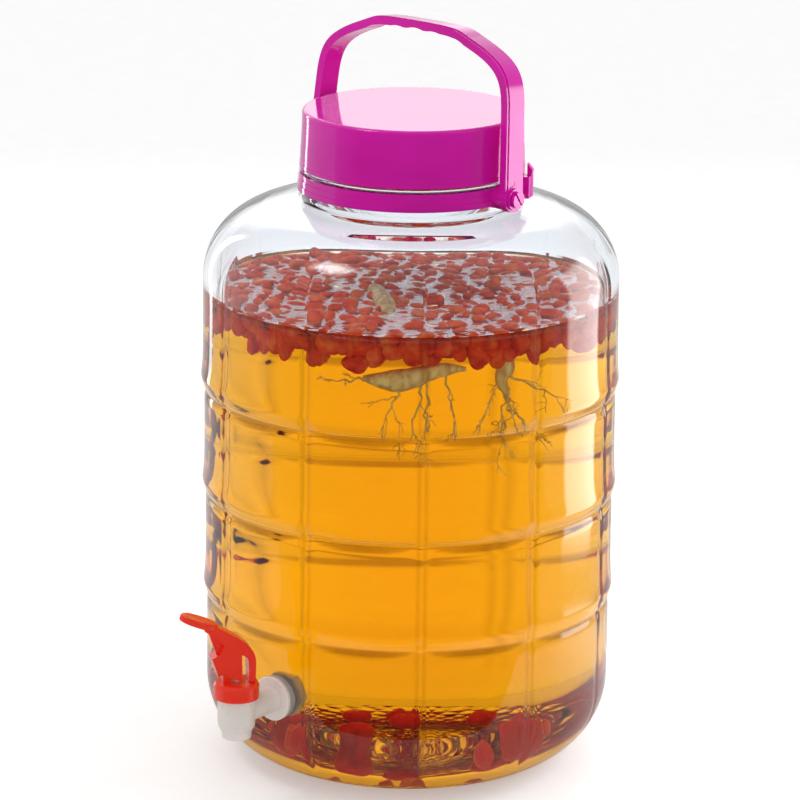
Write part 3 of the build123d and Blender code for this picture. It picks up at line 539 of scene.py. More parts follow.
class GlassJar:
    """The quilted glass jar, as one closed glass mesh."""

    def __init__(self, sizes: JarSizes, per_panel: int = 24) -> None:
        """Keep the sizes and lay out the columns, closer together at the upright seams.

        Args:
            sizes: the jar's sizes.
            per_panel: columns in each panel.
        """
        self.sizes = sizes
        self.columns = per_panel * sizes.panels
        place = np.linspace(-1, 1, per_panel, endpoint=False)
        across = 0.35 * np.sin(place * math.pi / 2) + 0.65 * place
        pitch = 2 * math.pi / sizes.panels
        starts = sizes.phase + pitch * np.arange(sizes.panels)
        self.turn = (starts[:, None] + (across[None, :] + 1) / 2 * pitch).ravel()

    def profile(self) -> list[tuple[float, float, float]]:
        """Outer profile from the base's centre to the rim.

        Returns:
            Radius, height and how strongly the panels show, in millimetres.
        """
        s = self.sizes
        foot = s.base_radius - s.corner
        points = [(r, 0.9 * (r / 62.0) ** 2 if r < 62 else 0.9 * max(0.0, 1 - (r - 62) / 8), 0.0)
                  for r in np.linspace(0.5, foot, 22)]
        for angle in np.linspace(0, math.pi / 2, 26)[1:]:
            shown = float(smooth_step(np.array((angle - 0.55) / 0.6)))
            points.append((foot + s.corner * math.sin(angle), s.corner * (1 - math.cos(angle)), shown))
        for height in np.arange(s.corner + 1.6, s.shoulder_start - 0.5, 1.5):
            points.append((s.base_radius, height, 1.0))
        centre = s.base_radius + s.tiers * s.step - s.shoulder_radius
        for angle in np.linspace(0, math.pi / 2 - s.slope, 30):
            shown = 1.0 - float(smooth_step(np.array((angle - 0.15) / 0.65)))
            points.append((centre + s.shoulder_radius * math.cos(angle),
                           s.shoulder_start + s.shoulder_radius * math.sin(angle), shown))
        end_r, end_z, _ = points[-1]
        for share in np.linspace(0, 1, 8)[1:]:
            points.append((end_r + (s.waist - end_r) * share, end_z + (s.neck_start - end_z) * share, 0.0))
        for radius, height in [
            (s.waist - 0.3, s.neck_start + 2), (s.waist - 0.3, s.bead_bottom - 1.2),
            (s.waist + 0.4, s.bead_bottom - 0.3), (s.bead_radius - 0.8, s.bead_bottom - 0.1),
            (s.bead_radius, s.bead_bottom + 0.7), (s.bead_radius, s.bead_top - 0.8),
            (s.bead_radius - 0.8, s.bead_top), (s.finish + 0.9, s.bead_top + 0.05),
            (s.finish, s.bead_top + 1.0), (s.finish, s.rim - 1.6),
            (s.finish - 0.5, s.rim - 0.5), (s.finish - 1.6, s.rim),
        ]:
            points.append((radius, height, 0.0))
        return points

    def wall_radius(self, height: np.ndarray, across: np.ndarray) -> np.ndarray:
        """Outer radius of the quilted wall, less the base tier's radius.

        Args:
            height: heights in millimetres.
            across: place across the panel, -1 to 1 between its upright seams.

        Returns:
            What to add to the base radius, in millimetres.
        """
        s = self.sizes
        added = np.zeros_like(height)
        corner = np.abs(across) ** 9
        for tier in range(s.tiers + 1):
            foot = s.base_tier + (tier - 1) * s.pitch if tier else -1e3
            head = s.base_tier + tier * s.pitch if tier < s.tiers else 1e3
            inside = (height >= foot) & (height < head)
            up = height - foot - 2.4 * corner
            down = head - height
            swell = 1.3 * np.exp(-np.clip(up - 7.0, 0, None) / 8.0) * smooth_step(up / 8.0)
            curl = -0.45 * (1 - smooth_step(up / 5.0))
            ledge = -1.1 * (1 - smooth_step((down - 0.5 - 2.0 * corner) / 7.0))
            if tier == s.tiers:
                ledge = np.zeros_like(height)
            if tier == 0:
                swell = curl = np.zeros_like(height)
            added = np.where(inside, tier * s.step + swell + curl + ledge, added)
        return added

    def painted_shade(self, height: np.ndarray, across: np.ndarray, edge: np.ndarray) -> np.ndarray:
        """Painted shade along the pressed seams and at the foot, a darkening put into the glass's colour.

        Args:
            height: heights in millimetres.
            across: place across the panel, -1 to 1 between its upright seams.
            edge: distance to the nearest upright seam in millimetres.

        Returns:
            0 on a panel to 1 where the painted shade is deepest, in a seam or at the foot.
        """
        s = self.sizes
        # Painted shade in thin lines beside the upright seams.
        shade = 0.45 * np.exp(-((edge - 1.9) / 0.8) ** 2)
        # Painted shade in a band under each tier's ledge, widest mid-panel.
        for tier in range(s.tiers):
            down = s.base_tier + tier * s.pitch - height
            painted_shade_band = 1.2 + 5.6 * (1 - np.abs(across) ** 3)
            band = smooth_step(down / 1.0) * (1 - smooth_step((down - painted_shade_band + 2.0) / 2.0))
            shade = np.maximum(shade, band * (0.55 + 0.45 * (1 - across ** 2)))
        # Painted shade that deepens towards the foot.
        foot = 0.34 * smooth_step((66.0 - height) / 40.0)
        return np.maximum(shade * (height > 30.0) * (height < s.shoulder_start - 8), foot)

    def outer(self) -> tuple[np.ndarray, np.ndarray, np.ndarray]:
        """Outer surface as radii, heights and the painted shade for the glass's colour.

        Returns:
            Three rows by columns arrays, the first two in metres.
        """
        s = self.sizes
        profile = np.array(self.profile())
        pitch = 2 * math.pi / s.panels
        across = (((self.turn - s.phase) / pitch) % 1.0) * 2 - 1
        radius, height, shown = (np.repeat(profile[:, i:i + 1], self.columns, axis=1) for i in range(3))
        across = np.repeat(across[None, :], len(profile), axis=0)
        top = s.base_radius + s.tiers * s.step
        body = height < s.shoulder_start
        added = np.where(body, self.wall_radius(height, across), 0.0)
        edge = (1 - np.abs(across)) * top * pitch / 2
        groove = -0.42 * np.exp(-(edge / 2.1) ** 2) + 0.08 * np.exp(-((edge - 4.8) / 2.2) ** 2)
        pillow = 0.3 * (1 - across ** 2)
        mask = np.where(height < s.corner, shown, np.where(body, 1.0, shown))
        start = np.where(height < s.corner, 0.0, 1.0)
        lines = (groove + pillow) * mask
        shade = self.painted_shade(height, across, edge)
        return (radius + added * start + lines) * MM, height * MM, shade

    def inner(self, columns: int) -> tuple[np.ndarray, np.ndarray]:
        """Inner surface from the mouth down to the floor's centre.

        Args:
            columns: number of columns.

        Returns:
            Two rows by columns arrays in metres.
        """
        points = [(self.sizes.mouth + 1.6, self.sizes.rim), (self.sizes.mouth + 0.4, self.sizes.rim - 0.6)]
        points += self.inner_profile(self.sizes.rim - 1.8)
        profile = np.array(points)
        radius = np.repeat(profile[:, :1], columns, axis=1)
        height = np.repeat(profile[:, 1:], columns, axis=1)
        return radius * MM, height * MM

    def inner_profile(self, top: float, grow: float = 0.0) -> list[tuple[float, float]]:
        """Inner profile from a height down to the floor's centre.

        Args:
            top: the highest point's height.
            grow: how far the profile is moved into the glass.

        Returns:
            Radii and heights in millimetres.
        """
        s = self.sizes
        wall = s.base_radius - s.wall + grow
        inner = s.shoulder_radius - s.wall
        corner = s.corner - s.floor
        points = []
        centre = wall - inner
        if top > s.shoulder_start:
            end = (centre + inner * math.sin(s.slope), s.shoulder_start + inner * math.cos(s.slope))
            neck = end[1] + (end[0] - s.mouth) * math.tan(s.slope)
            points += [(s.mouth, z) for z in np.linspace(top, neck + 1.5, 6)]
            for share in np.linspace(0.12, 1, 4):
                points.append((s.mouth + (end[0] - s.mouth) * share, neck + (end[1] - neck) * share))
            for angle in np.linspace(s.slope, math.pi / 2, 20)[1:]:
                points.append((centre + inner * math.sin(angle), s.shoulder_start + inner * math.cos(angle)))
            top = s.shoulder_start - 6
        points += [(wall, z) for z in np.linspace(top, s.corner + 1, 34)]
        for angle in np.linspace(math.pi / 2, 0, 20):
            rise = corner * (1 - math.cos(angle))
            points.append((wall - corner + corner * math.sin(angle), s.floor - grow + rise))
        points += [(r, s.floor - grow) for r in np.linspace(wall - corner, 0.5, 14)[1:]]
        return points

    def build(self, material: bpy.types.Material, wetted: bpy.types.Material) -> bpy.types.Object:
        """Make the glass mesh.

        Args:
            material: the glass where it meets the air.
            wetted: the glass where it meets the liquor.

        Returns:
            The jar's object.
        """
        outer_r, outer_z, shade = self.outer()
        inner_r, inner_z = self.inner(self.columns)
        radii = np.vstack([outer_r, inner_r])
        heights = np.vstack([outer_z, inner_z])
        verts = turned_grid(radii, heights, self.turn)
        faces = grid_faces(len(radii), self.columns)
        faces.append(list(range(self.columns))[::-1])
        last = (len(radii) - 1) * self.columns
        faces.append(list(range(last, last + self.columns)))
        shape = mesh_object("quilted_jar", verts, faces, material)
        # Painted shade for the glass's colour, none on the inner surface.
        painted_shade = shape.data.attributes.new("painted_shade", "FLOAT", "POINT")
        painted_shade.data.foreach_set("value", np.concatenate([shade.ravel(), np.zeros(inner_r.size)]))
        shape.data.materials.append(wetted)
        level = (self.sizes.liquid_level + 1.9) * MM
        inside = len(outer_r) * self.columns
        for face in shape.data.polygons:
            wet = min(face.vertices) >= inside and face.center.z < level
            face.material_index = 1 if wet else 0
        return shape


class Liquor:
    """The liquor, as a closed body that dips a little into the glass all round."""

    def __init__(self, jar: GlassJar, berries: list[Vector], dip: float = 0.25) -> None:
        """Keep the jar and the berries that the surface hangs over.

        Args:
            jar: the jar that holds the liquor.
            berries: centres of the berries in the surface, in metres.
            dip: how far the liquor's mesh goes into the glass, in millimetres.
        """
        self.jar = jar
        self.berries = np.array([tuple(place) for place in berries])
        self.dip = dip

    def film(self, points: np.ndarray) -> np.ndarray:
        """How high the wet film stands over the berries.

        Args:
            points: N by 2 array of places in metres.

        Returns:
            Heights in metres, above the flat level.
        """
        high = np.zeros(len(points))
        for x, y, z in self.berries:
            reach = np.hypot(points[:, 0] - x, points[:, 1] - y)
            near = reach < 0.012
            tall = 0.45 * max(z + 0.0048 - self.jar.sizes.liquid_level * MM, 0.0006)
            high[near] = np.maximum(high[near], tall * np.exp(-(reach[near] / 0.0052) ** 2))
        return high - 0.0003

    def build(self, material: bpy.types.Material, columns: int = 300) -> bpy.types.Object:
        """Make the liquor's mesh.

        Args:
            material: the liquor's material.
            columns: number of columns.

        Returns:
            The liquor's object.
        """
        level = self.jar.sizes.liquid_level
        wall = self.jar.sizes.base_radius - self.jar.sizes.wall
        points = [(r, level) for r in np.linspace(0.5, wall - 4, 76)]
        top = len(points)
        points += [(wall - 2.2, level + 0.15), (wall - 0.8, level + 0.8), (wall + self.dip, level + 1.9)]
        points += self.jar.inner_profile(level - 1.0, self.dip)
        profile = np.array(points)[::-1]
        radius = np.repeat(profile[:, :1], columns, axis=1) * MM
        height = np.repeat(profile[:, 1:], columns, axis=1) * MM
        verts = turned_grid(radius, height)
        wet = slice(len(verts) - top * columns, len(verts))
        fade = smooth_step((wall * MM - 0.003 - np.hypot(verts[wet, 0], verts[wet, 1])) / 0.004)
        verts[wet, 2] += self.film(verts[wet, :2]) * fade
        faces = grid_faces(len(profile), columns)
        faces.append(list(range(columns))[::-1])
        last = (len(profile) - 1) * columns
        faces.append(list(range(last, last + columns)))
        return mesh_object("liquor_body", verts, faces, material)


# ---------------------------------------------------------------- contents
def held(points: np.ndarray, sizes: JarSizes, gap: float = 0.4) -> np.ndarray:
    """Hold points inside the jar's hollow.

    Args:
        points: N by 3 array in metres.
        sizes: the jar's sizes.
        gap: distance kept from the glass, in millimetres.

    Returns:
        The points, moved in where they would meet the glass.
    """
    wall = (sizes.base_radius - sizes.wall - gap) * MM
    corner = (sizes.corner - sizes.floor) * MM
    height = np.maximum(points[:, 2], (sizes.floor + gap) * MM)
    drop = np.clip(corner + sizes.floor * MM - height, 0, corner)
    limit = wall - corner + np.sqrt(corner ** 2 - drop ** 2)
    share = np.minimum(1, limit / np.maximum(np.hypot(points[:, 0], points[:, 1]), 1e-6))
    return np.stack([points[:, 0] * share, points[:, 1] * share, height], axis=1)


@dataclass
class BerryBed:
    """Many berries, each its own wrinkled shape, joined in one piece."""

    name: str
    seed: int
    places: list[tuple[Vector, Matrix, float]] = field(default_factory=list)
    top: int = 0
    low: int = 0

    def kinds(self, count: int, rng: np.random.Generator, detail: int) -> list[tuple[np.ndarray, list]]:
        """Some wrinkled berries to copy.

        Args:
            count: how many different berries.
            rng: the seeded generator.
            detail: subdivisions of each.

        Returns:
            Points and faces of each.
        """
        made = []
        for _ in range(count):
            shape = bmesh.new()
            bmesh.ops.create_icosphere(shape, subdivisions=detail, radius=1.0)
            points = np.array([v.co for v in shape.verts])
            faces = [[v.index for v in f.verts] for f in shape.faces]
            shape.free()
            along = points[:, 0]
            turn = np.arctan2(points[:, 2], points[:, 1])
            wrinkle = 0.08 * np.sin(turn * rng.integers(3, 6) + along * 2 + rng.random() * 6)
            wrinkle += 0.06 * np.sin(turn * rng.integers(6, 9) - along * 3 + rng.random() * 6)
            dent = -0.25 * np.exp(-((points - rng.normal(size=3) * 0.6) ** 2).sum(1) / 0.3)
            taper = 1 - 0.18 * along
            scale = (1 + (wrinkle + dent) * np.sqrt(np.clip(1 - along ** 2, 0, 1)))
            points = points * np.stack([np.ones_like(scale), scale * taper, scale * taper], axis=1)
            points *= np.array([7.2, 4.6, 4.2]) * MM
            points[:, 2] += 0.8 * MM * (rng.random() - 0.3) * along ** 2
            made.append((points, faces))
        return made

    def scatter_disc(
        self, radius: float, level: float, gap: float, depth: float, rng: np.random.Generator
    ) -> None:
        """Lay berries flat over a disc.

        Args:
            radius: the disc's radius in metres.
            level: height of the berries' centres.
            gap: distance between neighbours.
            depth: how far they lie above or below the level.
            rng: the seeded generator.
        """
        row = 0
        y = -radius
        while y < radius:
            x = -radius + (gap / 2 if row % 2 else 0)
            while x < radius:
                place = Vector((x + rng.normal() * gap * 0.16, y + rng.normal() * gap * 0.16, level))
                place.z += (rng.random() - 0.5) * 2 * depth
                if place.xy.length < radius:
                    self.places.append((place, self.lying(rng), 0.85 + 0.3 * rng.random()))
                x += gap
            y += gap * 0.8
            row += 1

    def lying(self, rng: np.random.Generator, tilt: float = 0.35) -> Matrix:
        """A berry's random lying direction.

        Args:
            rng: the seeded generator.
            tilt: how far it may lean from flat, in radians.

        Returns:
            A rotation.
        """
        spin = Matrix.Rotation(rng.random() * 2 * math.pi, 3, "Z")
        lean = Matrix.Rotation(rng.normal() * tilt, 3, "Y")
        return spin @ lean @ Matrix.Rotation(rng.random() * 2 * math.pi, 3, "X")

    def build(self, material: bpy.types.Material, kinds: int = 12) -> bpy.types.Object:
        """Make the mesh of every berry.

        Args:
            material: the berries' material.
            kinds: how many different berries are copied.

        Returns:
            The object.
        """
        rng = np.random.default_rng(self.seed + 1)
        fine = self.kinds(kinds, rng, 3)
        coarse = self.kinds(kinds, rng, 2)
        verts, faces, count = [], [], 0
        for number, (place, turn, size) in enumerate(self.places):
            hidden = self.top <= number < self.low
            points, quads = (coarse if hidden else fine)[number % kinds]
            verts.append(points @ np.array(turn).T * size + np.array(place))
            faces += [[v + count for v in quad] for quad in quads]
            count += len(points)
        return mesh_object(self.name, held(np.vstack(verts), JarSizes()), faces, material)


class RootPiece:
    """A gnarled root with forked rootlets."""

    def __init__(self, name: str, seed: int) -> None:
        """Start an empty root.

        Args:
            name: the object's name.
            seed: seed for its wander.
        """
        self.name = name
        self.rng = np.random.default_rng(seed)
        self.verts: list[np.ndarray] = []
        self.faces: list[list[int]] = []
        self.count = 0

    def tube(self, line: list[Vector], radii: list[float], sides: int = 10, gnarl: float = 0.0) -> None:
        """Add a tube along a line.

        Args:
            line: points in metres.
            radii: radius at each point in metres.
            sides: sides of the tube.
            gnarl: strength of rings and knobs.
        """
        side = Vector((0.3, 0.9, 0.2))
        start = self.count
        for number, point in enumerate(line):
            before = line[max(number - 1, 0)]
            after = line[min(number + 1, len(line) - 1)]
            ahead = (after - before).normalized()
            side = (side - ahead * side.dot(ahead)).normalized()
            other = ahead.cross(side)
            ring = 1 + gnarl * math.sin(number * 2.3) + gnarl * self.rng.normal() * 0.5
            for step in range(sides):
                turn = 2 * math.pi * step / sides
                knob = 1 + gnarl * 0.8 * math.sin(3 * turn + number * 0.4)
                out = side * math.cos(turn) + other * math.sin(turn)
                self.verts.append(np.array(point + out * radii[number] * ring * knob))
            self.count += sides
        for row in range(len(line) - 1):
            low = start + row * sides
            for step in range(sides):
                after = (step + 1) % sides
                self.faces.append([low + step, low + after, low + sides + after, low + sides + step])
        self.faces.append([start + step for step in range(sides)][::-1])
        self.faces.append([self.count - sides + step for step in range(sides)])

    def wander(self, start: Vector, end: Vector, steps: int, wobble: float) -> list[Vector]:
        """A wandering line between two points.

        Args:
            start: first point.
            end: last point.
            steps: number of pieces.
            wobble: how far it wanders, in metres.

        Returns:
            The line's points.
        """
        line = []
        drift = Vector((0, 0, 0))
        for step in range(steps + 1):
            share = step / steps
            drift = drift * 0.8 + Vector(self.rng.normal(size=3)) * wobble * 0.5
            line.append(start.lerp(end, share) + drift * math.sin(math.pi * min(share * 1.2, 1)) ** 0.5)
        return line

    def rootlet(self, start: Vector, end: Vector, radius: float, forks: int = 2) -> None:
        """Add a rootlet with forks.

        Args:
            start: where it leaves the root.
            end: its tip.
            radius: radius at its start.
            forks: how many levels of forks.
        """
        line = self.wander(start, end, 12, (end - start).length * 0.07)
        radii = [max(radius * (1 - 0.8 * i / 12), 0.00022) for i in range(13)]
        self.tube(line, radii, sides=6)
        if not forks:
            return
        for place in (4, 7, 9):
            away = Vector(self.rng.normal(size=3)) * 0.6 + (end - start).normalized()
            reach = (end - start).length * (0.25 + 0.3 * self.rng.random())
            self.rootlet(line[place], line[place] + away.normalized() * reach, radii[place] * 0.7, forks - 1)

    def build(self, material: bpy.types.Material) -> bpy.types.Object:
        """Make the root's mesh.

        Args:
            material: the root's material.

        Returns:
            The object.
        """
        return mesh_object(self.name, held(np.array(self.verts), JarSizes(), 0.6), self.faces, material)


def at_view(right: float, away: float, height: float) -> Vector:
    """A point given as seen from the front of the scene.

    Args:
        right: millimetres to the right of the jar's axis.
        away: millimetres beyond the axis.
        height: height in millimetres.

    Returns:
        The point in the row frame, in metres.
    """
    turn = math.radians(Studio.azimuth)
    return Vector((
        (right * math.cos(turn) - away * math.sin(turn)) * MM,
        (right * math.sin(turn) + away * math.cos(turn)) * MM,
        height * MM,
    ))


class Contents:
    """Berries and roots in the liquor."""

    def __init__(self, sizes: JarSizes) -> None:
        """Keep the sizes.

        Args:
            sizes: the jar's sizes.
        """
        self.sizes = sizes

    def floating(self) -> BerryBed:
        """The berries in the liquor's surface.

        Returns:
            The bed of berries, top layer first.
        """
        rng = np.random.default_rng(5)
        bed = BerryBed("floating_bed", 5)
        level = self.sizes.liquid_level * MM
        bed.scatter_disc(0.1105, level - 0.0030, 0.0112, 0.0011, rng)
        bed.top = len(bed.places)
        bed.scatter_disc(0.1105, level - 0.0085, 0.0108, 0.0015, rng)
        bed.low = len(bed.places)
        for number in range(140):
            turn = 2 * math.pi * number / 140 + rng.normal() * 0.02
            drop = rng.random() ** 2.0 * 0.011 + (0.003 if number % 3 == 0 else 0.0)
            reach = 0.1085 + 0.004 * rng.random()
            place = Vector((reach * math.sin(turn), -reach * math.cos(turn), level - 0.004 - drop))
            bed.places.append((place, bed.lying(rng, 0.9), 1.0 + 0.3 * rng.random()))
        return bed

    def sunk(self, material: bpy.types.Material) -> bpy.types.Object:
        """The berries on the floor.

        Args:
            material: berry skin.

        Returns:
            The object.
        """
        rng = np.random.default_rng(9)
        bed = BerryBed("sunk_bed", 9)
        floor = (self.sizes.floor + 4.4) * MM
        for radius, count, phase in ((66.0, 17, 0.0), (52.0, 6, 12.0), (36.0, 3, 40.0)):
            for number in range(count):
                turn = math.radians(phase + number * 360 / count + 4 * math.sin(number * 2.4))
                place = Vector((radius * MM * math.cos(turn), radius * MM * math.sin(turn), floor))
                bed.places.append((place, bed.lying(rng, 0.1), 1.05))
        return bed.build(material)

    def roots(self, material: bpy.types.Material) -> tuple[bpy.types.Object, bpy.types.Object]:
        """The two roots that hang from the berries.

        Args:
            material: root skin.

        Returns:
            The front root and the side root.
        """
        front = RootPiece("front_root_skin", 3)
        spine = [
            at_view(-26 + 5.2 * i, -104 + 0.9 * math.sin(i), 265 - 2.5 * math.sin(i * 0.5) + i * 0.4)
            for i in range(12)
        ]
        swell = [1.5, 3.6, 5.2, 6.4, 6.9, 6.6, 6.0, 5.2, 4.4, 3.4, 2.4, 1.2]
        front.tube(spine, [r * MM for r in swell], sides=16, gnarl=0.05)
        for start, end, radius in (
            (spine[4], at_view(-14, -106, 232), 0.9),
            (spine[7], at_view(10, -106, 222), 1.1),
            (spine[6], at_view(6, -102, 212), 0.8),
            (spine[9], at_view(26, -104, 228), 0.8),
            (spine[1], at_view(-48, -98, 262), 0.9),
        ):
            front.rootlet(start, end, radius * MM, 2)
        piece = [at_view(-24 + 1.6 * i, 8 - 9.0 * i, 288.5 + 1.6 * math.sin(i * 0.45)) for i in range(9)]
        swell = [2.0, 4.2, 5.6, 5.2, 5.8, 6.4, 6.0, 4.4, 1.8]
        front.tube(piece, [r * MM for r in swell], sides=14, gnarl=0.05)
        side = RootPiece("side_root_skin", 8)
        spine = [at_view(52 + 1.5 * math.sin(i), -92, 276 - 3.0 * i) for i in range(9)]
        swell = [3.0, 4.4, 5.4, 5.2, 4.6, 3.8, 3.0, 2.2, 1.4]
        side.tube(spine, [r * MM for r in swell], sides=14, gnarl=0.06)
        for start, end, radius in (
            (spine[5], at_view(62, -90, 228), 1.0),
            (spine[6], at_view(78, -76, 214), 0.9),
            (spine[7], at_view(54, -94, 214), 0.8),
            (spine[4], at_view(90, -62, 240), 0.9),
            (spine[3], at_view(40, -98, 236), 0.8),
        ):
            side.rootlet(start, end, radius * MM, 2)
        return front.build(material), side.build(material)


# ---------------------------------------------------------------- studio
class Studio:
    """Camera, floor, backdrop and lights."""

    azimuth = 38.5
    distance = 2.5
    eye_height = 0.925
    focal_pixels = 4259.0
    picture_width = 800.0
    floor_lift = 0.34
    surround = 0.7
    near_side = 0.1
    table_edge = 210.0
    far_side = 0.9

    def camera(self) -> None:
        """Place the camera."""
        turn = math.radians(self.azimuth)
        data = bpy.data.cameras.new("camera")
        data.sensor_width = 36.0
        data.sensor_fit = "HORIZONTAL"
        data.lens = self.focal_pixels * data.sensor_width / self.picture_width
        data.clip_start, data.clip_end = 0.1, 30.0
        camera = bpy.data.objects.new("camera", data)
        bpy.context.scene.collection.objects.link(camera)
        ahead = Vector((-0.6010, 0.7519, -0.2710)).normalized()
        right = Vector((0.7811, 0.6243, 0.0)).normalized()
        up = right.cross(ahead).normalized()
        roll = math.radians(0.636)
        tilted = right * math.cos(roll) + up * math.sin(roll)
        up = up * math.cos(roll) - right * math.sin(roll)
        frame = Matrix((tilted, up, -ahead)).transposed()
        place = (math.sin(turn) * self.distance, -math.cos(turn) * self.distance, self.eye_height)
        camera.matrix_world = Matrix.Translation(place) @ frame.to_4x4()
        bpy.context.scene.camera = camera

    def world(self) -> None:
        """An even white surround that is dimmer on the near side in reflections."""
        world = bpy.data.worlds.new("surround")
        bpy.context.scene.world = world
        world.use_nodes = True
        tree = world.node_tree
        background = tree.nodes["Background"]
        path = tree.nodes.new("ShaderNodeLightPath")
        seen = tree.nodes.new("ShaderNodeMath")
        seen.operation = "MAXIMUM"
        tree.links.new(path.outputs["Is Camera Ray"], seen.inputs[0])
        tree.links.new(path.outputs["Is Transmission Ray"], seen.inputs[1])
        coords = tree.nodes.new("ShaderNodeTexCoord")
        facing = tree.nodes.new("ShaderNodeVectorMath")
        facing.operation = "DOT_PRODUCT"
        facing.inputs[1].default_value = at_view(0, 1000, 350).normalized()
        tree.links.new(coords.outputs["Generated"], facing.inputs[0])
        side = tree.nodes.new("ShaderNodeMapRange")
        side.inputs["From Min"].default_value = -0.6
        side.inputs["From Max"].default_value = 0.9
        side.inputs["To Min"].default_value = self.near_side
        side.inputs["To Max"].default_value = self.far_side
        tree.links.new(facing.outputs["Value"], side.inputs["Value"])
        lit = tree.nodes.new("ShaderNodeMix")
        lit.inputs["B"].default_value = self.surround
        tree.links.new(path.outputs["Is Diffuse Ray"], lit.inputs["Factor"])
        tree.links.new(side.outputs["Result"], lit.inputs["A"])
        level = tree.nodes.new("ShaderNodeMix")
        level.inputs["B"].default_value = 1.0
        tree.links.new(seen.outputs["Value"], level.inputs["Factor"])
        tree.links.new(lit.outputs["Result"], level.inputs["A"])
        background.inputs["Color"].default_value = (1, 1, 1, 1)
        tree.links.new(level.outputs["Result"], background.inputs["Strength"])

    def floor(self) -> None:
        """The pale floor."""
        nodes = Nodes("pale_floor")
        grain = nodes.noise(40.0, 2.0)
        stops = [(0.3, Colour(0.86, 0.86, 0.86)), (0.7, Colour(0.9, 0.9, 0.9))]
        nodes.link(nodes.ramp(grain, stops), nodes.shader.inputs["Base Color"])
        nodes.put(Roughness=0.7, Specular_IOR_Level=0.2)
        path = nodes.add("ShaderNodeLightPath")
        seen = nodes.add("ShaderNodeMath", operation="MAXIMUM")
        nodes.link(path.outputs["Is Camera Ray"], seen.inputs[0])
        nodes.link(path.outputs["Is Transmission Ray"], seen.inputs[1])
        lift = nodes.add("ShaderNodeMath", operation="MULTIPLY")
        lift.inputs[1].default_value = self.floor_lift
        nodes.link(seen.outputs["Value"], lift.inputs[0])
        nodes.shader.inputs["Emission Color"].default_value = (1, 1, 1, 1)
        nodes.link(lift.outputs["Value"], nodes.shader.inputs["Emission Strength"])
        turn = math.radians(self.azimuth)
        place = at_view(0, 4000 - self.table_edge, -0.4)
        bpy.ops.mesh.primitive_plane_add(size=8, location=place, rotation=(0, 0, turn))
        plane = bpy.context.object
        plane.name = "floor"
        plane.data.materials.append(nodes.material)

    def area(
        self, name: str, place: Vector, size: tuple[float, float], power: float, aim: Vector, edge: float
    ) -> bpy.types.Object:
        """An area light.

        Args:
            name: the light's name.
            place: its place as right, away and height in millimetres.
            size: width and height in metres.
            power: watts.
            aim: where it points, the same way.
            edge: share of the width over which it fades at its edges.

        Returns:
            The light.
        """
        data = bpy.data.lights.new(name, "AREA")
        data.shape = "RECTANGLE"
        data.size, data.size_y = size
        data.energy = power
        self.soften(data, edge)
        light = bpy.data.objects.new(name, data)
        bpy.context.scene.collection.objects.link(light)
        light.location = at_view(*place)
        light.rotation_mode = "QUATERNION"
        light.rotation_quaternion = (at_view(*aim) - light.location).to_track_quat("-Z", "Y")
        return light

    def soften(self, data: bpy.types.AreaLight, edge: float) -> None:
        """Let a light fade out towards its edges.

        Args:
            data: the light.
            edge: share of the width over which it fades.
        """
        data.use_nodes = True
        tree = data.node_tree
        emission = tree.nodes["Emission"]
        face = tree.nodes.new("ShaderNodeNewGeometry")
        split = tree.nodes.new("ShaderNodeSeparateXYZ")
        tree.links.new(face.outputs["Parametric"], split.inputs["Vector"])
        shares = []
        for axis in ("X", "Y"):
            away = tree.nodes.new("ShaderNodeMath")
            away.operation = "PINGPONG"
            away.inputs[1].default_value = 0.5
            tree.links.new(split.outputs[axis], away.inputs[0])
            fade = tree.nodes.new("ShaderNodeMapRange")
            fade.interpolation_type = "SMOOTHSTEP"
            fade.inputs["From Max"].default_value = edge
            tree.links.new(away.outputs["Value"], fade.inputs["Value"])
            shares.append(fade)
        both = tree.nodes.new("ShaderNodeMath")
        both.operation = "MULTIPLY"
        tree.links.new(shares[0].outputs["Result"], both.inputs[0])
        tree.links.new(shares[1].outputs["Result"], both.inputs[1])
        tree.links.new(both.outputs["Value"], emission.inputs["Strength"])

    def lights(self) -> None:
        """Soft lights: behind, low at the right, a strip at the left and one above."""
        self.area("behind", Vector((-100, 1400, 900)), (1.8, 0.9), 5.2, Vector((0, 0, 380)), 0.3)
        window = self.area("window", Vector((430, 60, 262)), (0.25, 0.5), 1.9, Vector((0, -40, 240)), 0.12)
        strip = self.area("strip", Vector((-640, 690, 350)), (0.12, 1.0), 1.8, Vector((0, 0, 250)), 0.3)
        window.visible_transmission = False
        strip.visible_transmission = False
        self.area("above", Vector((-700, -300, 1400)), (0.6, 0.5), 9.0, Vector((0, 0, 300)), 0.45)


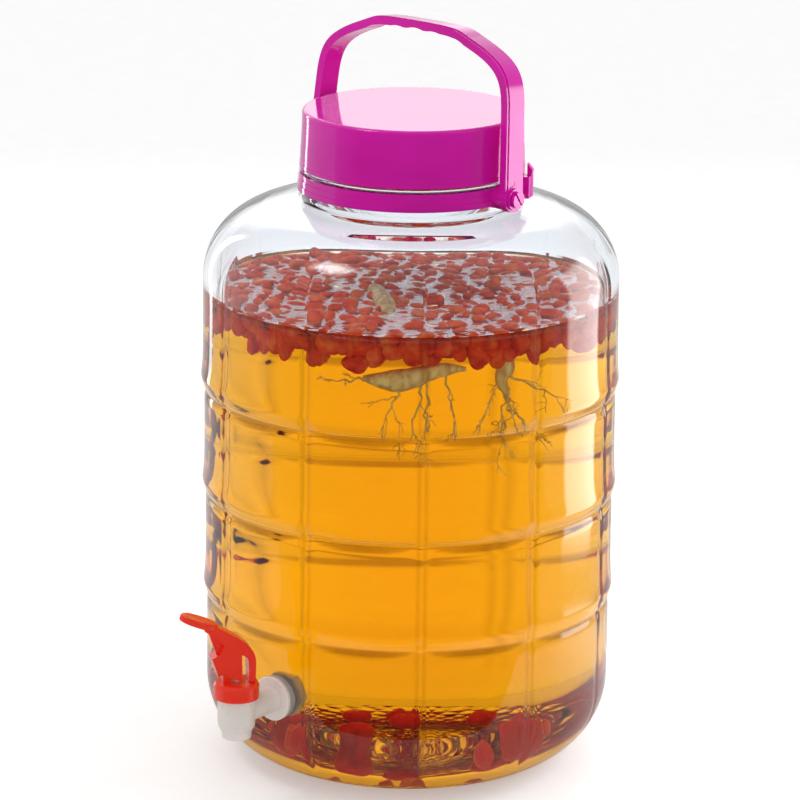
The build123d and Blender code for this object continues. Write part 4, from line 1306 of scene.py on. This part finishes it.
# ---------------------------------------------------------------- assembly
@dataclass(frozen=True)
class Finishes:
    """Every finish of the scene."""

    glass: Glass = Glass("clear_glass", Colour(0.93, 0.965, 1.0))
    wetted: Glass = Glass("wetted_glass", Colour(0.93, 0.965, 1.0), ior=1.103)
    liquor: Liquid = Liquid("amber_liquor", Colour(0.995, 0.868, 0.02), 34.0)
    lid: Plastic = Plastic(
        "magenta_plastic", Colour(0.66, 0.008, 0.37), Colour(0.76, 0.011, 0.44), (0.05, 0.1), through=0.1,
        grain=0.00001, rings=0.00008,
    )
    liner: Plastic = Plastic(
        "liner_white", Colour(0.8, 0.8, 0.78), Colour(0.86, 0.86, 0.84), (0.5, 0.7), coat=0.0
    )
    red: Plastic = Plastic("red_plastic", Colour(0.94, 0.03, 0.01), Colour(0.98, 0.042, 0.014), through=0.12)
    white: Plastic = Plastic(
        "milky_plastic", Colour(0.9, 0.79, 0.73), Colour(0.95, 0.85, 0.8), (0.25, 0.38), through=0.5,
        reach=0.006,
    )
    silicone: Plastic = Plastic(
        "milky_silicone", Colour(0.84, 0.83, 0.8), Colour(0.9, 0.89, 0.86), (0.3, 0.45), clear=0.55, coat=0.1
    )
    berry: Berry = Berry(
        "berry_skin", Colour(0.7, 0.03, 0.008), Colour(0.92, 0.075, 0.016), Colour(0.96, 0.18, 0.04)
    )
    root: Root = Root("root_skin", Colour(0.97, 0.74, 0.42), Colour(0.66, 0.38, 0.16))
    steel: Steel = Steel("bright_steel")


class JarScene:
    """Builds and dresses every piece."""

    def __init__(self, frame: dict) -> None:
        """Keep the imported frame.
        """
        self.frame = frame
        self.finishes = Finishes()

    def dress(self, node: str, material: bpy.types.Material) -> None:
        """Give a CAD node its material and soft edges.

        Args:
            node: the node's name.
            material: its material.
        """
        shape = self.frame["nodes"][node]
        shape.data.materials.clear()
        shape.data.materials.append(material)
        bevel = shape.modifiers.new("soft edges", "BEVEL")
        bevel.width = 0.0003
        bevel.segments = 2
        bevel.limit_method = "ANGLE"
        bevel.angle_limit = math.radians(40)
        bevel.harden_normals = True
        LOG.info("dressed %s", node)

    def swap(self, shape: bpy.types.Object, body: str, slot: Slot, *nodes: str) -> None:
        """Put a finer piece in the place of CAD nodes.

        Args:
            shape: the finer piece.
            body: the body it rides on.
            slot: the record's slot; not used.
            nodes: the CAD nodes it stands for.
        """
        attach(shape, body)
        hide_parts(*nodes)
        LOG.info("built %s with %d faces", shape.name, len(shape.data.polygons))

    def build(self) -> None:
        """Build and dress the whole object."""
        finish = self.finishes
        jar = GlassJar(JarSizes())
        glass = jar.build(finish.glass.make(), finish.wetted.make())
        self.swap(glass, "jar", Slot.GLASS, "glass_jar")
        contents = Contents(jar.sizes)
        berry = finish.berry.make()
        bed = contents.floating()
        surface = [place for place, _, _ in bed.places[:bed.top]]
        self.swap(Liquor(jar, surface).build(finish.liquor.make()), "jar", Slot.LIQUOR, "liquor")
        self.swap(bed.build(berry), "jar", Slot.BERRY, "floating_berries")
        self.swap(contents.sunk(berry), "jar", Slot.BERRY, "sunk_berries")
        front, side = contents.roots(finish.root.make())
        self.swap(front, "jar", Slot.ROOT, "front_root")
        self.swap(side, "jar", Slot.ROOT, "side_root")
        lid = finish.lid.make()
        for node in ("lid", "neck_collar", "bail_handle"):
            self.dress(node, lid)
        self.dress("lid_liner", finish.liner.make())
        red = finish.red.make()
        for node in ("spigot_bonnet", "spigot_lever"):
            self.dress(node, red)
        white = finish.white.make()
        for node in ("spigot_body", "spigot_nut", "valve_stem"):
            self.dress(node, white)
        silicone = finish.silicone.make()
        for node in ("outer_washer", "inner_washer", "barrel_gasket", "stem_ring_seal", "valve_plug"):
            self.dress(node, silicone)
        steel = finish.steel.make()
        for node in ("lever_pin", "return_spring"):
            self.dress(node, steel)


def render_settings() -> None:
    """View transform and light paths that glass in liquor needs."""
    scene = bpy.context.scene
    scene.view_settings.view_transform = "Standard"
    cycles = scene.cycles
    cycles.max_bounces = 40
    cycles.transmission_bounces = 36
    cycles.glossy_bounces = 6
    cycles.transparent_max_bounces = 16
    cycles.caustics_refractive = True
    cycles.caustics_reflective = False


def main() -> None:
    """Build the scene."""
    logging.basicConfig(level=logging.INFO)
    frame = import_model()
    JarScene(frame).build()
    studio = Studio()
    studio.world()
    studio.floor()
    studio.lights()
    studio.camera()
    render_settings()


if __name__ == "__main__":
    main()
